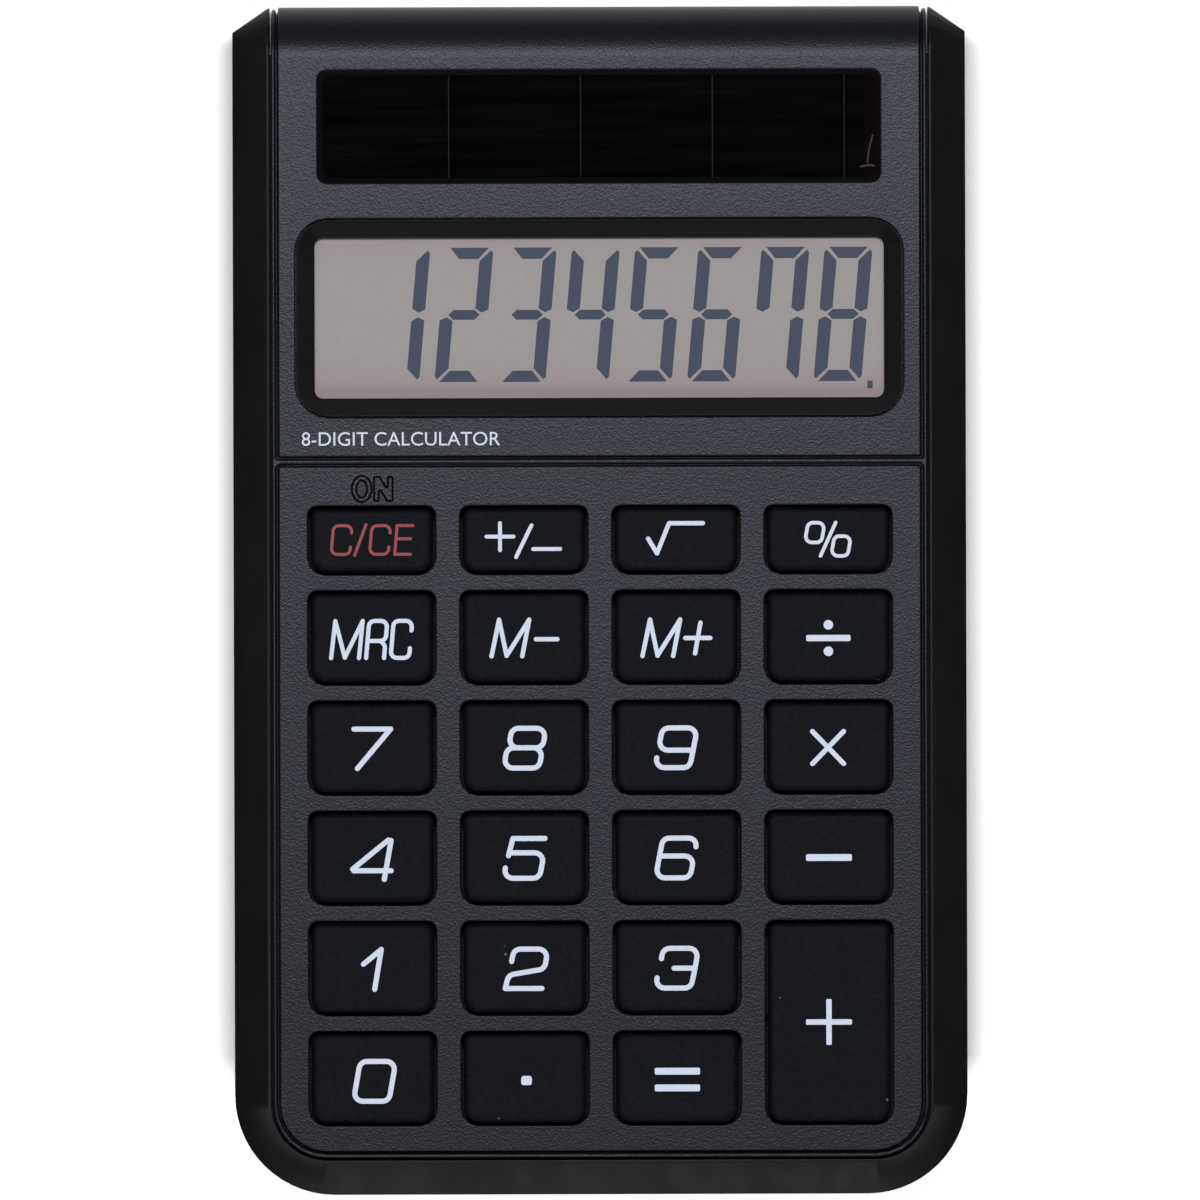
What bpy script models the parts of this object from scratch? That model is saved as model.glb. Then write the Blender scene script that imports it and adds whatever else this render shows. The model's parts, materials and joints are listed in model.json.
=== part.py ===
"""Pocket calculator: a slim solar-powered calculator with 23 rubber keys and an 8-digit display.

+X is to the right of a reader, +Y towards the display end and +Z up out of the key side. The origin is on
the surface that the calculator lies on, under the middle of its outline. Sizes are in metres.
"""

import math

import bmesh
import bpy
from mathutils import Vector

MM = 0.001

# Outline and height of the whole calculator
BODY_WIDTH = 70.4 * MM
BODY_LENGTH = 114.2 * MM
TOP_Z = 9.5 * MM
UNDERSIDE_Z = 0.5 * MM
BODY_CORNER = 9.6 * MM
END_ROUND = 5.0 * MM

# Front panel
PANEL_HALF_WIDTH = 31.46 * MM
PANEL_FRONT_Y = -53.53 * MM
PANEL_CORNER = 5.05 * MM
PANEL_THICKNESS = 1.5 * MM
SKIRT_THICKNESS = 1.2 * MM
SKIRT_BOTTOM_Z = 2.0 * MM
BEAD_DROP = 0.2 * MM
GROOVE_DEPTH = 0.75 * MM
GROOVE_WIDTH = 0.28 * MM
GROOVE_FLOOR_WIDTH = 0.04 * MM
GROOVE_TRIM = 0.02 * MM  # taken off each field's edge, so that its side runs straight down into the groove
PLATEAU_HALF_WIDTH = 30.85 * MM
PLATEAU_FRONT_Y = -52.9 * MM
PLATEAU_CORNER = 4.5 * MM
DIVIDER_LOW_Y = 12.87 * MM
DIVIDER_HIGH_Y = 13.8 * MM
DIVIDER_CORNER = 0.3 * MM

# Side frame: plan position runs from its inner lip to its outer face
LIP_HALF_WIDTH = 31.7 * MM
LIP_FRONT_Y = -53.75 * MM
LIP_CORNER = 5.4 * MM
CREST_WIDTH = 0.3 * MM
RAIL_DROP = 1.6 * MM
FRAME_WALL = 1.65 * MM
FRAME_TIP_Y = 57.05 * MM
FRAME_CHAMFER_Y = 54.6 * MM
FRAME_SOLID_Y = 53.0 * MM

# Keys
KEY_PITCH_X = 14.61 * MM
KEY_PITCH_Y = 10.58 * MM
KEY_OPENING_WIDTH = 12.26 * MM
KEY_OPENING_HEIGHT = 9.08 * MM
TOP_ROW_OPENING_HEIGHT = 6.62 * MM
FIRST_COLUMN_X = -1.5 * KEY_PITCH_X
TOP_ROW_Y = 5.78 * MM
SECOND_ROW_Y = -3.58 * MM
OPENING_UPPER_CORNER = 0.9 * MM
OPENING_LOWER_CORNER = 1.6 * MM
KEY_CLEARANCE = 0.27 * MM
KEY_TOP_Z = 9.8 * MM
KEY_EDGE = 0.4 * MM
KEY_HEAD_BOTTOM_Z = 6.9 * MM
PLUNGER_BOTTOM_Z = 5.05 * MM
PLUNGER_RADIUS = 1.8 * MM

# Windows in the front panel
SOLAR_CENTRE_Y = 45.5 * MM
SOLAR_OPENING = (54.1 * MM, 10.9 * MM)
SOLAR_WALL_SLOPE = 0.55 * MM
SOLAR_CORNER = 0.9 * MM
SOLAR_GLASS = (57.6 * MM, 12.0 * MM, 1.1 * MM)
DISPLAY_CENTRE_Y = 27.12 * MM
DISPLAY_OPENING = (58.4 * MM, 19.1 * MM)
DISPLAY_CORNER = 3.2 * MM
DISPLAY_LEDGE = 0.7 * MM
DISPLAY_LEDGE_Z = 8.55 * MM
BEZEL_WINDOW = (54.7 * MM, 15.35 * MM)
BEZEL_WINDOW_CORNER = 0.8 * MM
BEZEL_TOP_Z = 9.35 * MM
BEZEL_LIP_Z = 8.75 * MM
BEZEL_GAP = 0.1 * MM

# Liquid crystal display, from its front face down
LCD_FRONT_Z = 7.95 * MM
LCD_FILM = 0.2 * MM
LCD_GLASS = 0.7 * MM
LCD_WIDTH = 58.0 * MM
LCD_HEIGHT = 18.6 * MM
LCD_CONTACT_LEDGE = 2.2 * MM
FILM_MARGIN = 0.7 * MM

# Circuit board, key mat and what is fixed to them
BOARD_Z = (3.1 * MM, 4.1 * MM)
BOARD_HALF_WIDTH = 29.6 * MM
BOARD_FRONT_Y = -51.6 * MM
BOARD_BACK_Y = 10.9 * MM
TONGUE_HALF_WIDTH = 19.0 * MM
TONGUE_BACK_Y = 14.4 * MM
MAT_THICKNESS = 0.8 * MM
MAT_BACK_Y = 9.8 * MM
WEB_TOP_Z = 6.0 * MM
WEB_RADII = (3.6 * MM, 2.55 * MM)
WEB_WALL = 0.4 * MM
RIBBON_HALF_WIDTH = 17.0 * MM
RIBBON_THICKNESS = 0.2 * MM
WIRE_RADIUS = 0.4 * MM

# Rear cover and feet
COVER_THICKNESS = 1.4 * MM
COVER_GAP = 0.25 * MM
FOOT_RADIUS = 3.5 * MM
FOOT_RECESS = 0.3 * MM
FOOT_PLACES = [
    (-26.0 * MM, 45.0 * MM),
    (26.0 * MM, 45.0 * MM),
    (-26.0 * MM, -43.0 * MM),
    (26.0 * MM, -43.0 * MM),
]
LABEL_RECESS = (40.0 * MM, 22.0 * MM, 0.25 * MM)
LABEL_CENTRE_Y = 2.0 * MM
RIB_WIDTH = 1.2 * MM
RIB_X = (-20.0 * MM, 0.0, 20.0 * MM)
CUSHION_HALF_WIDTH = 22.0 * MM
CUSHION_THICKNESS = 1.1 * MM

# Screws: place, boss radius and pilot radius
CASE_SCREWS = [
    (-22.0 * MM, 53.4 * MM, 1.8 * MM, 0.85 * MM),
    (22.0 * MM, 53.4 * MM, 1.8 * MM, 0.85 * MM),
    (-24.0 * MM, 13.3 * MM, 2.0 * MM, 0.85 * MM),
    (24.0 * MM, 13.3 * MM, 2.0 * MM, 0.85 * MM),
    (-KEY_PITCH_X, -40.61 * MM, 1.25 * MM, 0.8 * MM),
    (KEY_PITCH_X, -40.61 * MM, 1.25 * MM, 0.8 * MM),
]
BOARD_SCREWS = [
    (-KEY_PITCH_X, 11.2 * MM),
    (KEY_PITCH_X, 11.2 * MM),
    (-KEY_PITCH_X, -19.45 * MM),
    (KEY_PITCH_X, -19.45 * MM),
]
BOARD_BOSS = (1.25 * MM, 0.75 * MM)
BOARD_HOLE_RADIUS = 0.9 * MM
BOSS_HOLE_RADIUS = 1.55 * MM
CASE_BOSS_BOTTOM_Z = 2.75 * MM
COVER_BOSS_TOP_Z = 2.65 * MM
COVER_BOSS_RADIUS = 2.9 * MM
COUNTERBORE_RADIUS = 1.9 * MM
COUNTERBORE_TOP_Z = 1.5 * MM
PILOT_TOP_Z = 7.3 * MM

TOUCH = 0.05 * MM  # between pieces that rest on each other
CENTRED = (0.0, 0.0)
CORNER_STEPS = 3
ROUND_SIDES = 16
ROLL_STEPS = 8
GROOVE_ROLL_STEPS = 11  # shares no ridge with the panel's own roll

PANEL_UNDERSIDE_Z = TOP_Z - PANEL_THICKNESS
ROLL_CENTRE_Y = BODY_LENGTH / 2 - END_ROUND
ROLL_CENTRE_Z = TOP_Z - END_ROUND
LCD_CENTRE_Y = DISPLAY_CENTRE_Y
COVER_TOP_Z = UNDERSIDE_Z + COVER_THICKNESS

# Each key: node name, column from the left, row from the top and the number of rows that it spans
KEYS = [
    ("key_clear", 0, 0, 1),
    ("key_sign_change", 1, 0, 1),
    ("key_square_root", 2, 0, 1),
    ("key_percent", 3, 0, 1),
    ("key_memory_recall", 0, 1, 1),
    ("key_memory_minus", 1, 1, 1),
    ("key_memory_plus", 2, 1, 1),
    ("key_divide", 3, 1, 1),
    ("key_7", 0, 2, 1),
    ("key_8", 1, 2, 1),
    ("key_9", 2, 2, 1),
    ("key_multiply", 3, 2, 1),
    ("key_4", 0, 3, 1),
    ("key_5", 1, 3, 1),
    ("key_6", 2, 3, 1),
    ("key_subtract", 3, 3, 1),
    ("key_1", 0, 4, 1),
    ("key_2", 1, 4, 1),
    ("key_3", 2, 4, 1),
    ("key_add", 3, 4, 2),
    ("key_0", 0, 5, 1),
    ("key_decimal_point", 1, 5, 1),
    ("key_equals", 2, 5, 1),
]


# ---------------------------------------------------------------- outlines


def arc(centre_x, centre_y, radius, start, end, steps):
    """Points along an arc, angles in degrees, both ends included."""
    angles = [math.radians(start + (end - start) * i / steps) for i in range(steps + 1)]
    return [(centre_x + radius * math.cos(a), centre_y + radius * math.sin(a)) for a in angles]


def rounded_rectangle(centre, size, upper_corner, lower_corner, steps=CORNER_STEPS):
    """An outline that runs anticlockwise from its lower left corner."""
    x, y = centre
    half_x, half_y = size[0] / 2, size[1] / 2
    corners = [
        (-1, -1, 180, lower_corner),
        (1, -1, 270, lower_corner),
        (1, 1, 0, upper_corner),
        (-1, 1, 90, upper_corner),
    ]
    points = []
    for side_x, side_y, start, radius in corners:
        centre_x = x + side_x * (half_x - radius)
        centre_y = y + side_y * (half_y - radius)
        points += arc(centre_x, centre_y, radius, start, start + 90, steps)
    return points


def circle(centre_x, centre_y, radius, sides=ROUND_SIDES):
    """A circle whose points match those of a rounded rectangle, quarter by quarter."""
    step = 360 / sides
    return arc(centre_x, centre_y, radius, 180 + step / 2, 540 - step / 2, sides - 1)


def at_height(outline, z):
    return [Vector((x, y, z)) for x, y in outline]


def key_centre(column, row, rows):
    """Centre and size of a key's opening in the front panel."""
    x = FIRST_COLUMN_X + column * KEY_PITCH_X
    if row == 0:
        return (x, TOP_ROW_Y), (KEY_OPENING_WIDTH, TOP_ROW_OPENING_HEIGHT)
    y = SECOND_ROW_Y - (row - 1 + (rows - 1) / 2) * KEY_PITCH_Y
    return (x, y), (KEY_OPENING_WIDTH, KEY_OPENING_HEIGHT + (rows - 1) * KEY_PITCH_Y)


def roll_height(y, offset=0.0):
    """Height of the top face at y, where it rolls over towards the display end, at an inward offset."""
    radius = END_ROUND - offset
    beyond = min(max(y - ROLL_CENTRE_Y, 0.0), radius)
    return ROLL_CENTRE_Z + math.sqrt(radius * radius - beyond * beyond)


# ---------------------------------------------------------------- mesh tools


def add_loft(mesh, rings, cyclic=False):
    """Adds a closed shell through rings of equal length, with flat caps, or with none if it is cyclic."""
    layers = [[mesh.verts.new(point) for point in ring] for ring in rings]
    pairs = list(zip(layers, layers[1:]))
    if cyclic:
        pairs.append((layers[-1], layers[0]))
    else:
        mesh.faces.new(layers[0])
        mesh.faces.new(layers[-1])
    for lower, upper in pairs:
        for i in range(len(lower)):
            j = (i + 1) % len(lower)
            mesh.faces.new((lower[i], lower[j], upper[j], upper[i]))


def add_prism(mesh, outline, bottom, top):
    add_loft(mesh, [at_height(outline, bottom), at_height(outline, top)])


def add_turned(mesh, place, profile, sides=ROUND_SIDES):
    """Adds a round shell about a vertical axis. The profile is a list of (radius, height)."""
    add_loft(mesh, [at_height(circle(*place, radius, sides), z) for radius, z in profile])


def finish_shape(name, mesh, material=None, smooth_angle=35):
    """Turns a bmesh into mesh data, with its faces pointing out."""
    bmesh.ops.recalc_face_normals(mesh, faces=mesh.faces)
    data = bpy.data.meshes.new(name)
    mesh.to_mesh(data)
    mesh.free()
    data.shade_smooth()
    data.set_sharp_from_angle(angle=math.radians(smooth_angle))
    if material is not None:
        data.materials.append(material)
    return data


def place_object(name, data, place=(0.0, 0.0)):
    """Adds an object to the assembly at a place in plan. Heights are in its data."""
    made = bpy.data.objects.new(name, data)
    bpy.context.scene.collection.objects.link(made)
    made.location = (*place, 0.0)
    made.parent = ASSEMBLY
    return made


def finish_object(name, mesh, material=None, smooth_angle=35):
    return place_object(name, finish_shape(name, mesh, material, smooth_angle))


def solid(name, material, *shells):
    """An object of prisms, each given as (outline, bottom, top)."""
    mesh = bmesh.new()
    for outline, bottom, top in shells:
        add_prism(mesh, outline, bottom, top)
    return finish_object(name, mesh, material)


def helper(made):
    """Marks an object that only cuts or joins another."""
    made.hide_render = True
    made.display_type = "WIRE"
    return made


def combine(target, other, operation):
    modifier = target.modifiers.new(other.name, "BOOLEAN")
    modifier.operation = operation
    modifier.solver = "EXACT"
    modifier.object = helper(other)


def side_block(name, profile, half_width):
    """A block of constant section across the calculator. The profile is a list of (y, z)."""
    mesh = bmesh.new()
    add_loft(mesh, [[Vector((side * half_width, y, z)) for y, z in profile] for side in (-1, 1)])
    return finish_object(name, mesh)


def make_material(name, colour, roughness, metallic=0.0):
    material = bpy.data.materials.new(name)
    material.use_nodes = True
    shader = material.node_tree.nodes["Principled BSDF"]
    shader.inputs["Base Color"].default_value = (*colour, 1.0)
    shader.inputs["Roughness"].default_value = roughness
    shader.inputs["Metallic"].default_value = metallic
    return material


# ---------------------------------------------------------------- casing


def roll_profile(offset, front_y, bottom_z):
    """Side outline of a block that ends in the rounded display end, at an inward offset from it."""
    rounded = arc(ROLL_CENTRE_Y, ROLL_CENTRE_Z, END_ROUND - offset, 0, 90, ROLL_STEPS)
    end_y = ROLL_CENTRE_Y + END_ROUND - offset
    return [(front_y, bottom_z), (end_y, bottom_z), *rounded, (front_y, TOP_Z - offset)]


def plan_outline(half_width, front_y, back_y, front_corner, back_corner):
    centre = (0.0, (front_y + back_y) / 2)
    return rounded_rectangle(centre, (2 * half_width, back_y - front_y), back_corner, front_corner, 6)


def make_front_panel(material):
    """The textured front shell: two fields edged by a groove and a bead, with windows and key openings."""
    beyond = 5 * MM
    back_y = BODY_LENGTH / 2 + beyond
    panel = side_block("front_panel", roll_profile(BEAD_DROP, PANEL_FRONT_Y - beyond, -beyond), BODY_WIDTH)
    panel.data.materials.append(material)

    outline = plan_outline(PANEL_HALF_WIDTH, PANEL_FRONT_Y, back_y, PANEL_CORNER, DIVIDER_CORNER)
    combine(panel, solid("panel_outline", None, (outline, -2 * beyond, 3 * beyond)), "INTERSECT")

    corners = (PLATEAU_CORNER, DIVIDER_CORNER)
    outline = plan_outline(PLATEAU_HALF_WIDTH, PLATEAU_FRONT_Y, DIVIDER_LOW_Y, *corners)
    combine(panel, solid("key_field", None, (outline, PANEL_UNDERSIDE_Z + 0.4 * MM, TOP_Z)), "UNION")

    display_field = side_block("display_field", roll_profile(0.0, 0.0, -2 * beyond), BODY_WIDTH)
    outline = plan_outline(PLATEAU_HALF_WIDTH, DIVIDER_HIGH_Y, back_y, DIVIDER_CORNER, DIVIDER_CORNER)
    field_outline = solid("display_field_outline", None, (outline, -3 * beyond, 3 * beyond))
    combine(display_field, field_outline, "INTERSECT")
    combine(panel, display_field, "UNION")
    cut_grooves(panel)

    end_y = BODY_LENGTH / 2
    below = [
        (-end_y - beyond, -4 * beyond),
        (end_y + beyond, -4 * beyond),
        (end_y + beyond, UNDERSIDE_Z + 1.2 * MM),
        (end_y + 0.1 * MM, UNDERSIDE_Z + 1.2 * MM),
        (end_y - 1.1 * MM, UNDERSIDE_Z),
        (end_y - PANEL_THICKNESS - 0.15 * MM, UNDERSIDE_Z),
        (end_y - PANEL_THICKNESS - 0.15 * MM, SKIRT_BOTTOM_Z),
        (-end_y - beyond, SKIRT_BOTTOM_Z),
    ]
    combine(panel, side_block("panel_underside", below, 2 * BODY_WIDTH), "DIFFERENCE")

    cavity = side_block("panel_cavity", roll_profile(PANEL_THICKNESS, -end_y, -3 * beyond), BODY_WIDTH)
    inner_y = PANEL_FRONT_Y + SKIRT_THICKNESS
    inner_x = PANEL_HALF_WIDTH - SKIRT_THICKNESS
    outline = plan_outline(inner_x, inner_y, back_y, PANEL_CORNER - SKIRT_THICKNESS, DIVIDER_CORNER)
    combine(cavity, solid("cavity_outline", None, (outline, -4 * beyond, 4 * beyond)), "INTERSECT")
    combine(panel, cavity, "DIFFERENCE")

    bosses = bmesh.new()
    embedded = PANEL_UNDERSIDE_Z + 0.3 * MM
    for x, y, radius, _ in CASE_SCREWS:
        top = min(embedded, roll_height(y + radius, PANEL_THICKNESS - 0.5 * MM))
        add_turned(bosses, (x, y), [(radius, CASE_BOSS_BOTTOM_Z), (radius, top)])
    for x, y in BOARD_SCREWS:
        add_turned(bosses, (x, y), [(BOARD_BOSS[0], BOARD_Z[1] + TOUCH), (BOARD_BOSS[0], embedded)])
    combine(panel, finish_object("panel_bosses", bosses), "UNION")

    combine(panel, make_panel_openings(), "DIFFERENCE")
    return panel


def cut_grooves(panel):
    """Cuts the narrow, V-shaped groove round each field, just outside it."""
    above = TOP_Z + 1 * MM
    middle = (GROOVE_WIDTH - GROOVE_TRIM) / 2
    # Distance out from the field's edge, and depth below the top face
    section = [
        (-GROOVE_TRIM, BEAD_DROP + 0.1 * MM),
        (middle - GROOVE_FLOOR_WIDTH / 2, GROOVE_DEPTH),
        (middle + GROOVE_FLOOR_WIDTH / 2, GROOVE_DEPTH),
        (GROOVE_WIDTH, BEAD_DROP - 0.05 * MM),
    ]
    upright = [(-GROOVE_TRIM, TOP_Z - above), *section, (GROOVE_WIDTH, TOP_Z - above)]

    rings = []
    for grow, depth in upright:
        front_y, back_y = PLATEAU_FRONT_Y - grow, DIVIDER_LOW_Y + grow
        corners = (PLATEAU_CORNER + grow, DIVIDER_CORNER + grow)
        outline = plan_outline(PLATEAU_HALF_WIDTH + grow, front_y, back_y, *corners)
        rings.append(at_height(outline, TOP_Z - depth))
    key_groove = bmesh.new()
    add_loft(key_groove, rings, cyclic=True)
    combine(panel, finish_object("key_field_groove", key_groove), "DIFFERENCE")

    across = [(DIVIDER_HIGH_Y - out, TOP_Z - depth) for out, depth in upright]
    divider_groove = side_block("divider_groove", across, PLATEAU_HALF_WIDTH + middle)
    combine(panel, divider_groove, "DIFFERENCE")

    start_y = DIVIDER_HIGH_Y - middle
    beyond_y = BODY_LENGTH / 2 + 2 * MM
    lower_z = UNDERSIDE_Z - 1 * MM
    side_grooves = bmesh.new()
    for side in (-1, 1):
        rings = []
        for out, depth in section:
            x = side * (PLATEAU_HALF_WIDTH + out)
            rolled = arc(ROLL_CENTRE_Y, ROLL_CENTRE_Z, END_ROUND - depth, 90, 0, GROOVE_ROLL_STEPS)
            outside = [(rolled[-1][0], lower_z), (beyond_y, lower_z), (beyond_y, above), (start_y, above)]
            profile = [*rolled, *outside, (start_y, TOP_Z - depth)]
            rings.append([Vector((x, y, z)) for y, z in profile])
        add_loft(side_grooves, rings)
    combine(panel, finish_object("side_grooves", side_grooves), "DIFFERENCE")


def make_panel_openings():
    """Cutter for the key openings, the two windows and the pilot holes of the bosses."""
    above = TOP_Z + 0.5 * MM
    below = PANEL_UNDERSIDE_Z - 0.5 * MM
    cutter = bmesh.new()
    for _, column, row, rows in KEYS:
        centre, size = key_centre(column, row, rows)
        opening = rounded_rectangle(centre, size, OPENING_UPPER_CORNER, OPENING_LOWER_CORNER)
        add_prism(cutter, opening, below, above)

    solar_centre = (0.0, SOLAR_CENTRE_Y)
    taper = 2 * SOLAR_WALL_SLOPE / PANEL_THICKNESS
    rings = []
    for z in (below, above):
        grow = taper * (z - TOP_Z)
        size = (SOLAR_OPENING[0] + grow, SOLAR_OPENING[1] + grow)
        rings.append(at_height(rounded_rectangle(solar_centre, size, SOLAR_CORNER, SOLAR_CORNER, 4), z))
    add_loft(cutter, rings)

    display_centre = (0.0, DISPLAY_CENTRE_Y)
    narrow = [side - 2 * DISPLAY_LEDGE for side in DISPLAY_OPENING]
    narrow_corner = DISPLAY_CORNER - DISPLAY_LEDGE
    lower = rounded_rectangle(display_centre, narrow, narrow_corner, narrow_corner, 5)
    upper = rounded_rectangle(display_centre, DISPLAY_OPENING, DISPLAY_CORNER, DISPLAY_CORNER, 5)
    steps = [(lower, below), (lower, DISPLAY_LEDGE_Z), (upper, DISPLAY_LEDGE_Z), (upper, above)]
    add_loft(cutter, [at_height(outline, z) for outline, z in steps])

    for x, y, _, pilot in CASE_SCREWS:
        add_turned(cutter, (x, y), [(pilot, 0.0), (pilot, min(PILOT_TOP_Z, roll_height(y, 3 * MM)))], 12)
    for x, y in BOARD_SCREWS:
        add_turned(cutter, (x, y), [(BOARD_BOSS[1], 0.0), (BOARD_BOSS[1], PILOT_TOP_Z)], 12)
    return finish_object("panel_openings", cutter)


def frame_station(inner, outer, solid_section):
    """One cross-section of the side frame, between a point on its inner lip and one on its outer face."""
    width = BODY_WIDTH / 2 - LIP_HALF_WIDTH
    crest = CREST_WIDTH / width
    wall = 1 - FRAME_WALL / width
    section = [
        (0.0, TOP_Z),
        (crest, TOP_Z),
        (1.0, TOP_Z - RAIL_DROP),
        (0.915, UNDERSIDE_Z + 1.2 * MM),
        (0.82, UNDERSIDE_Z + 0.35 * MM),
        (0.64, UNDERSIDE_Z),
    ]
    if solid_section:
        section += [(0.0, z) for z in (UNDERSIDE_Z, 2 * MM, 3.2 * MM, 4.4 * MM)]
    else:
        section += [
            (wall, UNDERSIDE_Z),
            (wall, TOP_Z - 2.4 * MM),
            (wall / 2, TOP_Z - 1.8 * MM),
            (0.0, TOP_Z - 1.7 * MM),
        ]
    points = []
    for i, (across, z) in enumerate(section):
        x = inner[0] + across * (outer[0] - inner[0])
        y = inner[1] + across * (outer[1] - inner[1])
        drop = TOP_Z - roll_height(y) if i < 3 else 0.0
        points.append(Vector((x, y, z - drop)))
    return points


def make_side_frame(material):
    """The U-shaped outer frame: a side wall and a sloping rail, with solid, chamfered ends."""
    outer_x, outer_y = BODY_WIDTH / 2, -BODY_LENGTH / 2
    chamfer = (FRAME_CHAMFER_Y - FRAME_SOLID_Y) / (FRAME_TIP_Y - FRAME_SOLID_Y)
    right_end = []
    for share in (1.0, 0.93, 0.84, 0.72, 0.55, 0.3, 0.08):
        beyond = share * (FRAME_TIP_Y - FRAME_SOLID_Y)
        inner = (LIP_HALF_WIDTH, FRAME_SOLID_Y + beyond)
        right_end.append((inner, (outer_x, FRAME_SOLID_Y + chamfer * beyond), True))
    right_end.append(((LIP_HALF_WIDTH, FRAME_SOLID_Y), (outer_x, FRAME_SOLID_Y), False))

    steps = 14
    lip = (LIP_HALF_WIDTH - LIP_CORNER, LIP_FRONT_Y + LIP_CORNER)
    face = (outer_x - BODY_CORNER, outer_y + BODY_CORNER)
    lip_arc = arc(*lip, LIP_CORNER, 0, -90, steps)
    face_arc = arc(*face, BODY_CORNER, 0, -90, steps)
    right_side = right_end + [(a, b, False) for a, b in zip(lip_arc, face_arc)]
    left_side = [((-a[0], a[1]), (-b[0], b[1]), full) for a, b, full in reversed(right_side)]

    mesh = bmesh.new()
    add_loft(mesh, [frame_station(*station) for station in right_side + left_side])
    return finish_object("side_frame", mesh, material, 25)


def cover_outline():
    """Rear cover's outline: inside the frame's wall, and narrower between the frame's solid ends."""
    inset = FRAME_WALL + COVER_GAP
    half_width = BODY_WIDTH / 2 - inset
    front_y = -BODY_LENGTH / 2 + inset
    corner = BODY_CORNER - inset
    neck = LIP_HALF_WIDTH - COVER_GAP
    shoulder_y = FRAME_SOLID_Y - COVER_GAP - 0.1 * MM
    back_y = BODY_LENGTH / 2 - PANEL_THICKNESS - COVER_GAP
    left = arc(-half_width + corner, front_y + corner, corner, 180, 270, 6)
    right = arc(half_width - corner, front_y + corner, corner, 270, 360, 6)
    back = [(half_width, shoulder_y), (neck, shoulder_y), (neck, back_y)]
    return left + right + back + [(-x, y) for x, y in reversed(back)]


def make_rear_cover(material):
    """The flat rear cover with ribs under the display and the solar panel, screw seats and foot recesses."""
    cover = solid("rear_cover", material, (cover_outline(), UNDERSIDE_Z, COVER_TOP_Z))

    raised = bmesh.new()
    embedded = COVER_TOP_Z - 0.4 * MM
    for x, y, _, _ in CASE_SCREWS:
        radius = min(COVER_BOSS_RADIUS, BODY_LENGTH / 2 - PANEL_THICKNESS - COVER_GAP - y - 0.05 * MM)
        add_turned(raised, (x, y), [(radius, embedded), (radius, COVER_BOSS_TOP_Z)], 12)
    ribs = (
        (LCD_CENTRE_Y, 17 * MM, rib_top(lcd_bottom())),
        (SOLAR_CENTRE_Y, 9 * MM, rib_top(solar_bottom())),
    )
    for x in RIB_X:
        for centre_y, length, top in ribs:
            size = (RIB_WIDTH, length)
            add_prism(raised, rounded_rectangle((x, centre_y), size, 0.2 * MM, 0.2 * MM, 1), embedded, top)
    combine(cover, finish_object("cover_ribs", raised), "UNION")

    cutter = bmesh.new()
    outside = UNDERSIDE_Z - 1 * MM
    for x, y, _, pilot in CASE_SCREWS:
        clearance = pilot + 0.2 * MM
        steps = [
            (COUNTERBORE_RADIUS, outside),
            (COUNTERBORE_RADIUS, COUNTERBORE_TOP_Z),
            (clearance, COUNTERBORE_TOP_Z),
            (clearance, COVER_BOSS_TOP_Z + 1 * MM),
        ]
        add_turned(cutter, (x, y), steps, 12)
    for place in FOOT_PLACES:
        radius = FOOT_RADIUS + 0.15 * MM
        add_turned(cutter, place, [(radius, outside), (radius, UNDERSIDE_Z + FOOT_RECESS)], 24)
    width, height, depth = LABEL_RECESS
    label = rounded_rectangle((0.0, LABEL_CENTRE_Y), (width, height), 1.5 * MM, 1.5 * MM, 4)
    add_prism(cutter, label, outside, UNDERSIDE_Z + depth)
    combine(cover, finish_object("cover_recesses", cutter), "DIFFERENCE")
    return cover


def lcd_bottom():
    """Height of the underside of the display's rear film."""
    return LCD_FRONT_Z - 2 * LCD_FILM - 2 * LCD_GLASS - 3 * TOUCH


def solar_bottom():
    return PANEL_UNDERSIDE_Z - TOUCH - SOLAR_GLASS[2]


def rib_top(pane_bottom):
    """Ribs end under the cushion that presses on a pane."""
    return pane_bottom - CUSHION_THICKNESS - 2 * TOUCH


def make_feet(material):
    mesh = bmesh.new()
    top = UNDERSIDE_Z + FOOT_RECESS - TOUCH
    edge = 0.25 * MM
    add_turned(mesh, CENTRED, [(FOOT_RADIUS - edge, 0.0), (FOOT_RADIUS, edge), (FOOT_RADIUS, top)], 24)
    shape = finish_shape("foot", mesh, material)
    for i, place in enumerate(FOOT_PLACES, 1):
        place_object(f"foot_{i}", shape, place)


# ---------------------------------------------------------------- display and solar panel


def make_display_bezel(material):
    """The black surround that slopes down to the display window and sits on the ledge in the front panel."""
    centre = (0.0, DISPLAY_CENTRE_Y)

    def ring(inset, corner, z):
        size = [side - 2 * inset for side in DISPLAY_OPENING]
        return at_height(rounded_rectangle(centre, size, corner, corner, 5), z)

    lower_inset = DISPLAY_LEDGE + BEZEL_GAP
    window_inset = (DISPLAY_OPENING[0] - BEZEL_WINDOW[0]) / 2
    bottom = LCD_FRONT_Z + TOUCH
    seat = DISPLAY_LEDGE_Z + TOUCH
    mesh = bmesh.new()
    add_loft(
        mesh,
        [
            ring(BEZEL_GAP, DISPLAY_CORNER - BEZEL_GAP, BEZEL_TOP_Z),
            ring(BEZEL_GAP, DISPLAY_CORNER - BEZEL_GAP, seat),
            ring(lower_inset, DISPLAY_CORNER - lower_inset, seat),
            ring(lower_inset, DISPLAY_CORNER - lower_inset, bottom),
            ring(window_inset, BEZEL_WINDOW_CORNER, bottom),
            ring(window_inset, BEZEL_WINDOW_CORNER, BEZEL_LIP_Z),
        ],
        cyclic=True,
    )
    return finish_object("display_bezel", mesh, material)


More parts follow.
